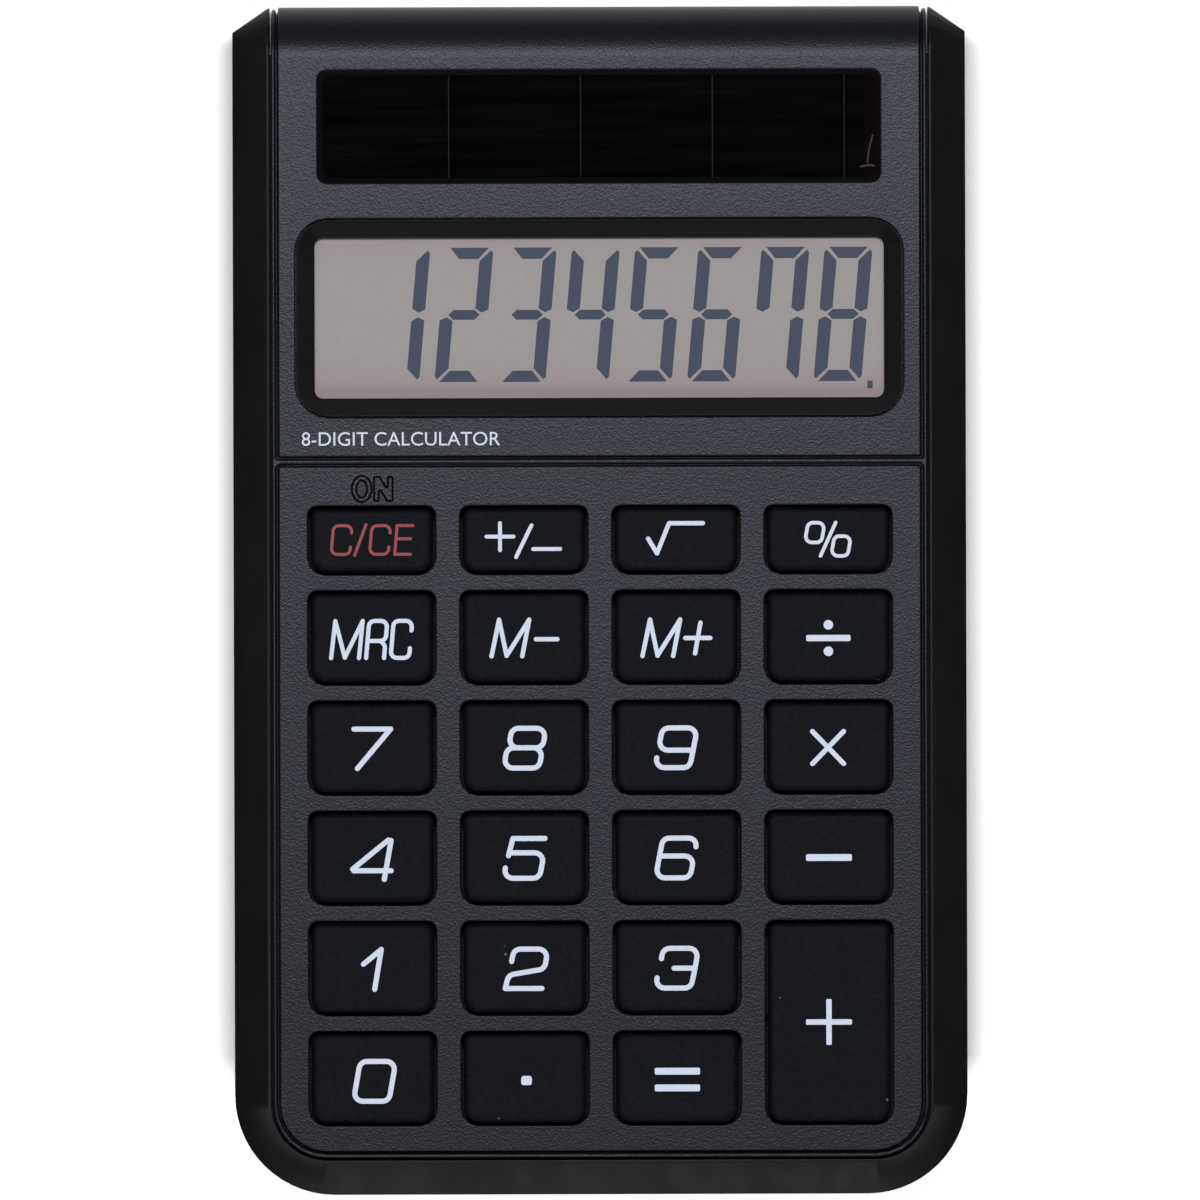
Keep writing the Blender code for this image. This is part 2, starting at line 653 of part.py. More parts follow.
def make_display(film_material, glass_material, foil_material):
    """Front polariser, two glass plates and the rear reflector. The rear plate is longer, for its contacts."""
    corner = 0.2 * MM
    front = LCD_FRONT_Z
    film_size = (LCD_WIDTH - 2 * FILM_MARGIN, LCD_HEIGHT - 2 * FILM_MARGIN)
    glass_size = (LCD_WIDTH, LCD_HEIGHT)
    rear_size = (LCD_WIDTH, LCD_HEIGHT + LCD_CONTACT_LEDGE)
    rear_y = LCD_CENTRE_Y - LCD_CONTACT_LEDGE / 2
    layers = [
        ("lcd_front_film", film_size, LCD_CENTRE_Y, LCD_FILM, film_material),
        ("lcd_front_glass", glass_size, LCD_CENTRE_Y, LCD_GLASS, glass_material),
        ("lcd_rear_glass", rear_size, rear_y, LCD_GLASS, glass_material),
        ("lcd_reflector", film_size, LCD_CENTRE_Y, LCD_FILM, foil_material),
    ]
    for name, size, centre_y, thickness, material in layers:
        outline = rounded_rectangle((0.0, centre_y), size, corner, corner, 1)
        solid(name, material, (outline, front - thickness, front))
        front -= thickness + TOUCH


def make_cushion(name, centre_y, length, pane_bottom, material):
    """A foam strip that holds a pane up against the front panel."""
    top = pane_bottom - TOUCH
    outline = rounded_rectangle((0.0, centre_y), (2 * CUSHION_HALF_WIDTH, length), 0.5 * MM, 0.5 * MM, 1)
    return solid(name, material, (outline, top - CUSHION_THICKNESS, top))


def make_ribbon(material):
    """The flat heat-sealed ribbon from the display's contact ledge down to the board."""
    contact_z = LCD_FRONT_Z - LCD_FILM - LCD_GLASS - TOUCH
    board_z = BOARD_Z[1] + TOUCH
    ledge_y = LCD_CENTRE_Y - LCD_HEIGHT / 2 - 0.3 * MM
    half = RIBBON_THICKNESS / 2
    rise = contact_z - board_z
    centre_line = [
        (ledge_y, contact_z + half),
        (ledge_y - 2.3 * MM, contact_z + half),
        (ledge_y - 2.8 * MM, contact_z - 0.25 * rise),
        (ledge_y - 2.9 * MM, board_z + 0.25 * rise),
        (ledge_y - 3.4 * MM, board_z + half),
        (ledge_y - 4.6 * MM, board_z + half),
    ]
    normals = []
    for i, _ in enumerate(centre_line):
        before = Vector(centre_line[max(i - 1, 0)])
        after = Vector(centre_line[min(i + 1, len(centre_line) - 1)])
        along = (after - before).normalized()
        normals.append((along.y, -along.x))
    above = [(y + half * n[0], z + half * n[1]) for (y, z), n in zip(centre_line, normals)]
    below = [(y - half * n[0], z - half * n[1]) for (y, z), n in zip(centre_line, normals)]
    made = side_block("lcd_ribbon", above + below[::-1], RIBBON_HALF_WIDTH)
    made.data.materials.append(material)
    return made


def make_solar_panel(material):
    top = PANEL_UNDERSIDE_Z - TOUCH
    outline = rounded_rectangle((0.0, SOLAR_CENTRE_Y), SOLAR_GLASS[:2], 0.2 * MM, 0.2 * MM, 1)
    return solid("solar_panel", material, (outline, top - SOLAR_GLASS[2], top))


# ---------------------------------------------------------------- keys and electronics


def key_shape(opening, material):
    """A rubber key: rounded head with softened edges, and the round plunger that closes its contact."""
    size = [side - 2 * KEY_CLEARANCE for side in opening]
    upper = OPENING_UPPER_CORNER - 0.1 * MM
    lower = OPENING_LOWER_CORNER - 0.2 * MM

    def head(inset, z):
        inner = [side - 2 * inset for side in size]
        return at_height(rounded_rectangle(CENTRED, inner, upper - 0.5 * inset, lower - 0.5 * inset), z)

    def plunger(radius, z):
        return at_height(circle(*CENTRED, radius), z)

    mesh = bmesh.new()
    add_loft(
        mesh,
        [
            plunger(PLUNGER_RADIUS, PLUNGER_BOTTOM_Z),
            plunger(PLUNGER_RADIUS, KEY_HEAD_BOTTOM_Z),
            head(0.0, KEY_HEAD_BOTTOM_Z),
            head(0.0, KEY_TOP_Z - KEY_EDGE),
            head(0.3 * KEY_EDGE, KEY_TOP_Z - 0.3 * KEY_EDGE),
            head(KEY_EDGE, KEY_TOP_Z),
        ],
    )
    return finish_shape("key", mesh, material, 50)


def make_keys(material):
    """All keys. Each has its origin on its own line of travel, and keys of one size share their shape."""
    shapes = {}
    for name, column, row, rows in KEYS:
        centre, opening = key_centre(column, row, rows)
        if opening not in shapes:
            shapes[opening] = key_shape(opening, material)
        place_object(name, shapes[opening], centre)


def make_key_mat(material):
    """The silicone sheet under the keys, with a conical web round each key's plunger."""
    bottom = BOARD_Z[1] + TOUCH
    top = bottom + MAT_THICKNESS
    length = MAT_BACK_Y - BOARD_FRONT_Y
    size = (2 * BOARD_HALF_WIDTH, length)
    outline = rounded_rectangle((0.0, MAT_BACK_Y - length / 2), size, 1 * MM, 3.2 * MM, 3)
    mat = solid("key_mat", material, (outline, bottom, top))

    webs = bmesh.new()
    wells = bmesh.new()
    sides = 8
    slope = (WEB_RADII[0] - WEB_RADII[1]) / (WEB_TOP_Z - top)
    for _, column, row, rows in KEYS:
        centre, _ = key_centre(column, row, rows)
        sunk = 0.3 * MM
        cone = [(WEB_RADII[0] + slope * sunk, top - sunk), (WEB_RADII[1], WEB_TOP_Z)]
        add_turned(webs, centre, cone, sides)
        over = 0.5 * MM
        wide = WEB_RADII[0] + slope * (top - bottom + over) - WEB_WALL
        narrow = WEB_RADII[1] - slope * over - WEB_WALL
        add_turned(wells, centre, [(wide, bottom - over), (narrow, WEB_TOP_Z + over)], sides)
    boss_hole = [(BOSS_HOLE_RADIUS, bottom - 1 * MM), (BOSS_HOLE_RADIUS, top + 1 * MM)]
    for x, y in [screw[:2] for screw in CASE_SCREWS[4:]] + BOARD_SCREWS[2:]:
        add_turned(wells, (x, y), boss_hole, sides)
    combine(mat, finish_object("mat_webs", webs), "UNION")
    combine(mat, finish_object("mat_wells", wells), "DIFFERENCE")
    return mat


def make_board(material):
    """The circuit board, with a tongue towards the display and holes for the bosses and screws."""
    corner = 3.2 * MM
    right_front = arc(BOARD_HALF_WIDTH - corner, BOARD_FRONT_Y + corner, corner, 270, 360, 4)
    right_back = [
        (BOARD_HALF_WIDTH, BOARD_BACK_Y),
        (TONGUE_HALF_WIDTH, BOARD_BACK_Y),
        (TONGUE_HALF_WIDTH, TONGUE_BACK_Y),
    ]
    right = right_front + right_back
    board = solid("main_board", material, (right + [(-x, y) for x, y in reversed(right)], *BOARD_Z))
    holes = bmesh.new()
    span = (BOARD_Z[0] - 1 * MM, BOARD_Z[1] + 1 * MM)
    for x, y in BOARD_SCREWS:
        add_turned(holes, (x, y), [(BOARD_HOLE_RADIUS, z) for z in span], 12)
    for x, y, _, _ in CASE_SCREWS[4:]:
        add_turned(holes, (x, y), [(BOSS_HOLE_RADIUS, z) for z in span], 12)
    combine(board, finish_object("board_holes", holes), "DIFFERENCE")
    return board


def make_board_parts(resin, capacitor_case, diode_case):
    """The sealed chip, the buffer capacitor and the clamp diode under the board."""
    under = BOARD_Z[0] - TOUCH
    mesh = bmesh.new()
    dome = [(1.6 * MM, -0.9 * MM), (3.2 * MM, -0.7 * MM), (4.2 * MM, -0.35 * MM), (4.5 * MM, 0.0)]
    add_turned(mesh, (0.0, -3.5 * MM), [(radius, under + depth) for radius, depth in dome], 20)
    finish_object("controller_chip", mesh, resin)
    corner = 0.15 * MM
    capacitor = rounded_rectangle((12.0 * MM, 2.0 * MM), (3.5 * MM, 2.8 * MM), corner, corner, 1)
    solid("buffer_capacitor", capacitor_case, (capacitor, under - 1.0 * MM, under))
    diode = rounded_rectangle((18.0 * MM, 2.0 * MM), (2.6 * MM, 1.5 * MM), corner, corner, 1)
    solid("clamp_diode", diode_case, (diode, under - 0.8 * MM, under))


def smooth_points(points, steps):
    """Points on a smooth curve through the given ones (Catmull-Rom)."""
    padded = [points[0], *points, points[-1]]
    made = []
    for a, b, c, d in zip(padded, padded[1:], padded[2:], padded[3:]):
        a, b, c, d = Vector(a), Vector(b), Vector(c), Vector(d)
        for i in range(steps):
            t = i / steps
            bend = (2 * a - 5 * b + 4 * c - d) * t * t + (3 * b - a - 3 * c + d) * t * t * t
            made.append((2 * b + (c - a) * t + bend) / 2)
    return [*made, Vector(points[-1])]


def make_wire(name, points, material):
    """A thin insulated wire along a smooth route."""
    curve = bpy.data.curves.new(name, "CURVE")
    curve.dimensions = "3D"
    curve.bevel_depth = WIRE_RADIUS
    curve.bevel_resolution = 2
    curve.use_fill_caps = True
    route = smooth_points(points, 3)
    spline = curve.splines.new("POLY")
    spline.points.add(len(route) - 1)
    for point, place in zip(spline.points, route):
        point.co = (*place, 1.0)
    made = bpy.data.objects.new(name, curve)
    bpy.context.scene.collection.objects.link(made)
    made.data.materials.append(material)
    made.parent = ASSEMBLY
    return made


def make_solar_wires(red, black):
    """Two wires from the solar panel's terminal end, past the display, to the board."""
    start_z = solar_bottom() - WIRE_RADIUS - TOUCH
    board_z = BOARD_Z[1] + WIRE_RADIUS + TOUCH
    for name, x, start_y, material in (
        ("solar_wire_red", 27.2 * MM, 48.5 * MM, red),
        ("solar_wire_black", 25.6 * MM, 43.0 * MM, black),
    ):
        low_z = 3.6 * MM
        route = [
            (x, start_y, start_z),
            (x, start_y - 3.0 * MM, start_z - 0.3 * MM),
            (x + 0.3 * MM, 38.6 * MM, 4.6 * MM),
            (x + 0.4 * MM, 33.0 * MM, low_z),
            (x + 0.2 * MM, 24.0 * MM, low_z),
            (x + 0.9 * MM, 17.5 * MM, low_z + 0.2 * MM),
            (x + 1.0 * MM, 12.6 * MM, 4.3 * MM),
            (x + 0.8 * MM, 10.4 * MM, board_z),
        ]
        make_wire(name, route, material)


def make_screw(name, place, head, shank, top_z, head_top_z, material):
    """A pan-head screw, head down. Head is (radius, height)."""
    radius, height = head
    seat_z = head_top_z + height
    profile = [
        (0.72 * radius, head_top_z),
        (radius, head_top_z + 0.3 * height),
        (radius, seat_z),
        (shank, seat_z),
        (shank, top_z - shank),
        (0.35 * shank, top_z),
    ]
    mesh = bmesh.new()
    add_turned(mesh, CENTRED, profile, 12)
    return place_object(name, finish_shape(name, mesh, material), place)


def make_screws(material):
    for i, (x, y, _, pilot) in enumerate(CASE_SCREWS, 1):
        head = (1.6 * MM, 0.75 * MM)
        head_top_z = COUNTERBORE_TOP_Z - TOUCH - head[1]
        top_z = min(6.6 * MM, roll_height(y, 3 * MM) - 0.3 * MM)
        make_screw(f"case_screw_{i}", (x, y), head, pilot - 0.1 * MM, top_z, head_top_z, material)
    for i, place in enumerate(BOARD_SCREWS, 1):
        head = (1.35 * MM, 0.7 * MM)
        shank = BOARD_BOSS[1] - 0.1 * MM
        head_top_z = BOARD_Z[0] - TOUCH - head[1]
        make_screw(f"board_screw_{i}", place, head, shank, 6.9 * MM, head_top_z, material)


# ---------------------------------------------------------------- assembly


for leftover in list(bpy.data.objects):
    bpy.data.objects.remove(leftover)

ASSEMBLY = bpy.data.objects.new("calculator", None)
bpy.context.scene.collection.objects.link(ASSEMBLY)

dark_grey = make_material("textured_dark_grey", (0.052, 0.055, 0.064), 0.62)
black_frame = make_material("satin_black", (0.014, 0.013, 0.014), 0.42)
black_cover = make_material("matte_black", (0.016, 0.016, 0.017), 0.6)
black_bezel = make_material("bezel_black", (0.013, 0.012, 0.013), 0.5)
black_rubber = make_material("key_rubber", (0.010, 0.011, 0.013), 0.6)
grey_rubber = make_material("mat_rubber", (0.02, 0.02, 0.022), 0.75)
foot_rubber = make_material("foot_rubber", (0.03, 0.03, 0.03), 0.85)
solar_dark = make_material("solar_cell", (0.003, 0.003, 0.004), 0.08)
film = make_material("display_film", (0.30, 0.28, 0.27), 0.4)
glass = make_material("display_glass", (0.6, 0.63, 0.62), 0.05)
foil = make_material("reflector", (0.7, 0.7, 0.7), 0.3, 0.8)
foam = make_material("foam", (0.05, 0.05, 0.05), 0.95)
ribbon = make_material("ribbon", (0.45, 0.22, 0.06), 0.4)
board = make_material("circuit_board", (0.30, 0.17, 0.07), 0.5)
resin = make_material("chip_resin", (0.006, 0.006, 0.006), 0.3)
capacitor_case = make_material("capacitor_case", (0.45, 0.28, 0.05), 0.5)
diode_case = make_material("diode_case", (0.02, 0.02, 0.02), 0.4)
red_insulation = make_material("red_insulation", (0.45, 0.01, 0.01), 0.5)
black_insulation = make_material("black_insulation", (0.012, 0.012, 0.012), 0.5)
steel = make_material("steel", (0.55, 0.55, 0.56), 0.3, 1.0)

make_front_panel(dark_grey)
make_side_frame(black_frame)
make_rear_cover(black_cover)
make_display_bezel(black_bezel)
make_display(film, glass, foil)
make_cushion("lcd_cushion", LCD_CENTRE_Y, 14 * MM, lcd_bottom(), foam)
make_ribbon(ribbon)
make_solar_panel(solar_dark)
make_cushion("solar_cushion", SOLAR_CENTRE_Y, 8 * MM, solar_bottom(), foam)
make_keys(black_rubber)
make_key_mat(grey_rubber)
make_board(board)
make_board_parts(resin, capacitor_case, diode_case)
make_solar_wires(red_insulation, black_insulation)
make_feet(foot_rubber)
make_screws(steel)
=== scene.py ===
"""The looks of the pocket calculator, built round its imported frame.

Casing parts are finer copies of their nodes with rounded edges, and each key is modelled again.
Legends, display segments and other markings are thin solids. +Y is the display end and +Z is up.
"""

import json
import math

import bmesh
import bpy
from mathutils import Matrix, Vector

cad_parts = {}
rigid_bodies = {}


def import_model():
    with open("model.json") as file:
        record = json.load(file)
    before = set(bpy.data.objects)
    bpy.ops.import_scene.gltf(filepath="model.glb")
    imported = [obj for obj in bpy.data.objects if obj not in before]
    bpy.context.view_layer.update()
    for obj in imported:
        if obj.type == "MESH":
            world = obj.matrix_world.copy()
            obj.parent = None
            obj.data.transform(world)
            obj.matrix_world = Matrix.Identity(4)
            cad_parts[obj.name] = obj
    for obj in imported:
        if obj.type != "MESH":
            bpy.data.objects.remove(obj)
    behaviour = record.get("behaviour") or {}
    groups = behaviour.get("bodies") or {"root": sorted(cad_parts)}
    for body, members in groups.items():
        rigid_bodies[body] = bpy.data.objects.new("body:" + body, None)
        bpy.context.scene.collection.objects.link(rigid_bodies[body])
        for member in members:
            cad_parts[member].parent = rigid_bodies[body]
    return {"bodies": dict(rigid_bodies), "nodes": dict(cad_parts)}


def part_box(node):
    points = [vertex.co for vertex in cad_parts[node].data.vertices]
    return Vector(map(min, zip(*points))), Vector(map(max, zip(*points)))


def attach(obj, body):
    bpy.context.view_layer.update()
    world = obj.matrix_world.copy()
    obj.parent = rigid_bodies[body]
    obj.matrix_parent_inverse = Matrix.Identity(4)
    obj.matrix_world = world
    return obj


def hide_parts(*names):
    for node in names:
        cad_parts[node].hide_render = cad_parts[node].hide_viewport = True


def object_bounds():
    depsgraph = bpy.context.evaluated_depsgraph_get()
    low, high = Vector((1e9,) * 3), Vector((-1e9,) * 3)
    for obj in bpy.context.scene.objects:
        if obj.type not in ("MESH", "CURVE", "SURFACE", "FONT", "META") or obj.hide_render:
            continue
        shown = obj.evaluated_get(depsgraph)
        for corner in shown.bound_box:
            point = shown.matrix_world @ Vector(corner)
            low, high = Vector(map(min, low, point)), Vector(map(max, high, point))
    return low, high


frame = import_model()
CAD_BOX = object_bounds()

MM = 0.001
CASING = "casing"
PRINT_THICKNESS = 0.015 * MM
PRINT_SUNK = 0.04 * MM
COOL = (0.8, 0.84, 1.0)  # tint of the sheen on the grey and black mouldings

# Legends on the keys
SLANT = math.tan(math.radians(10))
SMALL_SLANT = math.tan(math.radians(5))
STROKE = 0.49 * MM
DIGIT_SIZE = (3.42 * MM, 3.82 * MM)
SIGN_WIDTH = 4.4 * MM

# Keys: a head with tighter corners on the display side, over a round plunger
KEY_EDGE = 0.6 * MM
KEY_HEAD_DEPTH = 2.9 * MM
KEY_UPPER_CORNER = 0.8 * MM
KEY_LOWER_CORNER = 1.4 * MM
KEY_PLUNGER_RADIUS = 1.8 * MM
KEY_CORNER_STEPS = 7

# Display
LIT_SEGMENTS = ("bc", "abdeg", "abcdg", "bcfg", "acdfg", "acdefg", "abcf", "abcdefg")  # 1 to 8
DIGIT_PITCH = 6.07 * MM
SEGMENT_SLANT = math.tan(math.radians(5))
LAST_DIGIT_X = 20.56 * MM
DIGITS_BOTTOM_Y = 20.98 * MM
POINT_PLACE = (26.0 * MM, 20.65 * MM)
POINT_SIZE = (0.5 * MM, 0.75 * MM)

# Solar panel
CELL_PITCH = 12.67 * MM
FIRST_CELL_LINE_X = -14.42 * MM
CELL_LINE_WIDTH = 0.1 * MM
CELL_LINE_COUNT = 4
TERMINAL_X = 26.1 * MM
TERMINAL_WIDTH = 1.1 * MM

# Printed words under the display
PANEL_WORDS = "8-DIGIT CALCULATOR"
PANEL_WORDS_HEIGHT = 1.88 * MM
PANEL_WORDS_PLACE = (-19.1 * MM, 15.45 * MM)

# Moulded word: fine grooves along the edges of its letters
O_MIDDLE_X = -22.85 * MM
N_LEFT_X = -21.66 * MM
ON_MIDDLE_Y = 10.72 * MM
ON_GROOVE_WIDTH = 0.2 * MM
ON_GROOVE_DEPTH = 0.35 * MM
ON_CORNER = 0.13 * MM

# Rating label in the rear cover's recess
LABEL_PLACE = (0.0, 2.0 * MM)
LABEL_SIZE = (39.4 * MM, 21.4 * MM)
LABEL_RECESS = 0.75 * MM
LABEL_THICKNESS = 0.13 * MM
LABEL_LINES = (("POCKET CALCULATOR", 2.6 * MM), ("8 DIGITS", 2.2 * MM), ("SOLAR POWERED", 2.2 * MM))
LABEL_FIRST_Y = 7.2 * MM
LABEL_LINE_PITCH = 5.2 * MM

CAMERA_HEIGHT = 2.0
VIEW_WIDTH = 115.2 * MM
SENSOR_WIDTH = 36.0
CAMERA_ROLL = math.radians(0.155)


# ---------------------------------------------------------------- outlines


def arc(centre_x, centre_y, radius, start, end, steps):
    """Points along an arc, angles in degrees, both ends included."""
    angles = [math.radians(start + (end - start) * i / steps) for i in range(steps + 1)]
    return [(centre_x + radius * math.cos(a), centre_y + radius * math.sin(a)) for a in angles]


def rounded_rectangle(centre, size, upper_corner, lower_corner, steps):
    x, y = centre
    half_x, half_y = size[0] / 2, size[1] / 2
    corners = [
        (-1, -1, 180, lower_corner),
        (1, -1, 270, lower_corner),
        (1, 1, 0, upper_corner),
        (-1, 1, 90, upper_corner),
    ]
    points = []
    for side_x, side_y, start, radius in corners:
        centre_x = x + side_x * (half_x - radius)
        centre_y = y + side_y * (half_y - radius)
        points += arc(centre_x, centre_y, radius, start, start + 90, steps)
    return points


def at_height(outline, z):
    return [Vector((x, y, z)) for x, y in outline]


def fillet(corner, back, on, room, radius, steps=5):
    """Points of an arc that rounds a corner between two directions, or the corner if it has no turn."""
    half_angle = back.angle(on) / 2
    if half_angle > math.radians(88):
        return [corner]
    reach = min(radius / math.tan(half_angle), room)
    arc_radius = reach * math.tan(half_angle)
    middle = (back.normalized() + on.normalized()).normalized()
    centre = corner + middle * arc_radius / math.sin(half_angle)
    start = corner + back.normalized() * reach - centre
    turn = math.pi - 2 * half_angle
    if back.x * on.y - back.y * on.x > 0:
        turn = -turn
    points = []
    for i in range(steps + 1):
        a = turn * i / steps
        x = start.x * math.cos(a) - start.y * math.sin(a)
        y = start.x * math.sin(a) + start.y * math.cos(a)
        points.append(centre + Vector((x, y)))
    return points


def rounded_paths(points, radius):
    """Paths through the points, with square corners rounded and a new path started at each sharp one."""
    points = [Vector(point) for point in points]
    paths = [[points[0]]]
    for i, corner in enumerate(points[1:-1], 1):
        back, on = points[i - 1] - corner, points[i + 1] - corner
        if back.angle(on) < math.radians(70) or radius == 0.0:
            paths[-1].append(corner)
            paths.append([corner])
        else:
            # A corner shares a side with its neighbour, but has an end of the path to itself
            back_share = 0.98 if i == 1 else 0.5
            on_share = 0.98 if i == len(points) - 2 else 0.5
            room = min(back_share * back.length, on_share * on.length)
            paths[-1] += fillet(corner, back, on, room, radius)
    paths[-1].append(points[-1])
    return paths


def stroke_outline(path, width):
    """Outline of a stroke of constant width along a path, with round ends."""
    sides = []
    for i, point in enumerate(path):
        along = (path[min(i + 1, len(path) - 1)] - path[max(i - 1, 0)]).normalized()
        sides.append(Vector((-along.y, along.x)) * width / 2)
    left = [point + side for point, side in zip(path, sides)]
    right = [point - side for point, side in zip(path, sides)]
    outline = []
    for edge, tip, side in ((left, path[-1], sides[-1]), (right[::-1], path[0], -sides[0])):
        outline += [tuple(point) for point in edge]
        start = math.degrees(math.atan2(side.y, side.x))
        outline += arc(tip.x, tip.y, width / 2, start - 22.5, start - 157.5, 6)
    return outline


# ---------------------------------------------------------------- mesh tools


def add_loft(mesh, rings, cyclic=False):
    """Adds a closed shell through rings of equal length, with flat caps, or with none if it is cyclic."""
    layers = [[mesh.verts.new(point) for point in ring] for ring in rings]
    pairs = list(zip(layers, layers[1:]))
    if cyclic:
        pairs.append((layers[-1], layers[0]))
    else:
        mesh.faces.new(layers[0])
        mesh.faces.new(layers[-1])
    for lower, upper in pairs:
        for i in range(len(lower)):
            j = (i + 1) % len(lower)
            mesh.faces.new((lower[i], lower[j], upper[j], upper[i]))


def add_prism(mesh, outline, bottom, top):
    add_loft(mesh, [at_height(outline, bottom), at_height(outline, top)])


def make_object(name, mesh, material=None, smooth_angle=35):
    bmesh.ops.recalc_face_normals(mesh, faces=mesh.faces)
    data = bpy.data.meshes.new(name)
    mesh.to_mesh(data)
    mesh.free()
    stored_normals = data.attributes.get("custom_normal")
    if stored_normals is not None:
        data.attributes.remove(stored_normals)
    data.shade_smooth()
    data.set_sharp_from_angle(angle=math.radians(smooth_angle))
    if material is not None:
        data.materials.append(material)
    made = bpy.data.objects.new(name, data)
    bpy.context.scene.collection.objects.link(made)
    return made


def weight_normals(made):
    """Keeps flat faces evenly shaded beside rounded edges."""
    modifier = made.modifiers.new("even_shading", "WEIGHTED_NORMAL")
    modifier.keep_sharp = True


def boolean(target, other, operation):
    """Joins or cuts with another object, which is used up."""
    modifier = target.modifiers.new(operation, "BOOLEAN")
    modifier.operation = operation
    modifier.solver = "EXACT"
    modifier.use_self = True
    modifier.object = other
    shaped = target.evaluated_get(bpy.context.evaluated_depsgraph_get())
    old = target.data
    target.data = bpy.data.meshes.new_from_object(shaped)
    target.modifiers.clear()
    bpy.data.meshes.remove(old)
    bpy.data.objects.remove(other)


def printed(name, outlines, surface_z, material, body):
    """A print on a flat surface: thin solids of the outlines, joined where they overlap."""
    low, high = surface_z - PRINT_SUNK, surface_z + PRINT_THICKNESS
    first, rest = bmesh.new(), bmesh.new()
    add_prism(first, outlines[0], low, high)
    made = make_object(name, first, material)
    if len(outlines) > 1:
        for outline in outlines[1:]:
            add_prism(rest, outline, low, high)
        boolean(made, make_object(name + "_rest", rest, material), "UNION")
    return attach(made, body)


def refined(node, name, edge, material, angle=30, segments=3, cutter=None, clamp=True):
    """A finer copy of a node: flat areas made whole, then sharp edges rounded. It stands for the node.

    Without the clamp only outward edges are rounded, each by the full amount.
    """
    mesh = bmesh.new()
    mesh.from_mesh(frame["nodes"][node].data)
    bmesh.ops.remove_doubles(mesh, verts=mesh.verts, dist=0.001 * MM)
    bmesh.ops.dissolve_limit(mesh, angle_limit=math.radians(0.8), verts=mesh.verts, edges=mesh.edges)
    bmesh.ops.recalc_face_normals(mesh, faces=mesh.faces)
    sharp = [
        e for e in mesh.edges
        if e.is_manifold and e.calc_face_angle() > math.radians(angle) and (clamp or e.is_convex)
    ]
    bmesh.ops.bevel(
        mesh, geom=sharp, offset=edge, segments=segments, profile=0.5, affect="EDGES", clamp_overlap=clamp
    )
    made = make_object(name, mesh, material)
    if cutter is not None:
        boolean(made, cutter, "DIFFERENCE")
    made.data.materials.clear()
    made.data.materials.append(material)
    made.data.shade_smooth()
    made.data.set_sharp_from_angle(angle=math.radians(50))
    weight_normals(made)
    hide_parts(node)
    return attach(made, CASING)


# ---------------------------------------------------------------- materials


class Surface:
    """A node material whose colour, roughness and relief come from noise in object space."""

    def __init__(self, name, roughness, metallic=0.0, coat=0.0, specular=0.5, tint=(1.0, 1.0, 1.0)):
        self.material = bpy.data.materials.new(name)
        self.material.use_nodes = True
        self.tree = self.material.node_tree
        self.shader = self.tree.nodes["Principled BSDF"]
        self.shader.inputs["Roughness"].default_value = roughness
        self.shader.inputs["Metallic"].default_value = metallic
        self.shader.inputs["Coat Weight"].default_value = coat
        self.shader.inputs["Specular IOR Level"].default_value = specular
        self.shader.inputs["Specular Tint"].default_value = (*tint, 1.0)
        self.place = self.tree.nodes.new("ShaderNodeTexCoord").outputs["Object"]

    def link(self, output, target):
        self.tree.links.new(output, target)

    def noise(self, scale, detail=2.0, roughness=0.5, stretch=(1, 1, 1)):
        """Noise of 0 to 1, with scale in features per metre."""
        mapping = self.tree.nodes.new("ShaderNodeMapping")
        mapping.inputs["Scale"].default_value = stretch
        self.link(self.place, mapping.inputs["Vector"])
        texture = self.tree.nodes.new("ShaderNodeTexNoise")
        texture.inputs["Scale"].default_value = scale
        texture.inputs["Detail"].default_value = detail
        texture.inputs["Roughness"].default_value = roughness
        self.link(mapping.outputs["Vector"], texture.inputs["Vector"])
        return texture.outputs["Fac"]

    def specks(self, scale, size):
        """Small dots at random places, as 0 or 1. Size is their share of the distance between places."""
        texture = self.tree.nodes.new("ShaderNodeTexVoronoi")
        texture.inputs["Scale"].default_value = scale
        texture.inputs["Randomness"].default_value = 1.0
        self.link(self.place, texture.inputs["Vector"])
        return self.ramp(texture.outputs["Distance"], [(size * 0.7, 1.0), (size, 0.0)])

    def ramp(self, value, stops):
        """Maps a value through (position, brightness or colour) stops."""
        node = self.tree.nodes.new("ShaderNodeValToRGB")
        elements = node.color_ramp.elements
        while len(elements) < len(stops):
            elements.new(0.5)
        for element, (position, shade) in zip(elements, stops):
            element.position = position
            element.color = (*shade, 1.0) if isinstance(shade, tuple) else (shade, shade, shade, 1.0)
        self.link(value, node.inputs["Fac"])
        return node.outputs["Color"]

    def mix(self, factor, first, second):
        """Blends two colours by a factor. Each may be a colour or an output."""
        node = self.tree.nodes.new("ShaderNodeMix")
        node.data_type = "RGBA"
        for value, target in ((factor, node.inputs[0]), (first, node.inputs[6]), (second, node.inputs[7])):
            if isinstance(value, tuple):
                target.default_value = (*value, 1.0)
            elif isinstance(value, float):
                target.default_value = value
            else:
                self.link(value, target)
        return node.outputs[2]

    def colour(self, output):
        self.link(output, self.shader.inputs["Base Color"])

    def roughness(self, output):
        self.link(output, self.shader.inputs["Roughness"])

    def bump(self, height, strength, distance):
        """Adds relief. Several calls add up."""
        node = self.tree.nodes.new("ShaderNodeBump")
        node.inputs["Strength"].default_value = strength
        node.inputs["Distance"].default_value = distance
        self.link(height, node.inputs["Height"])
        before = self.shader.inputs["Normal"].links
        if before:
            self.link(before[0].from_socket, node.inputs["Normal"])
        self.link(node.outputs["Normal"], self.shader.inputs["Normal"])


def scaled(colour, factor):
    return tuple(channel * factor for channel in colour)


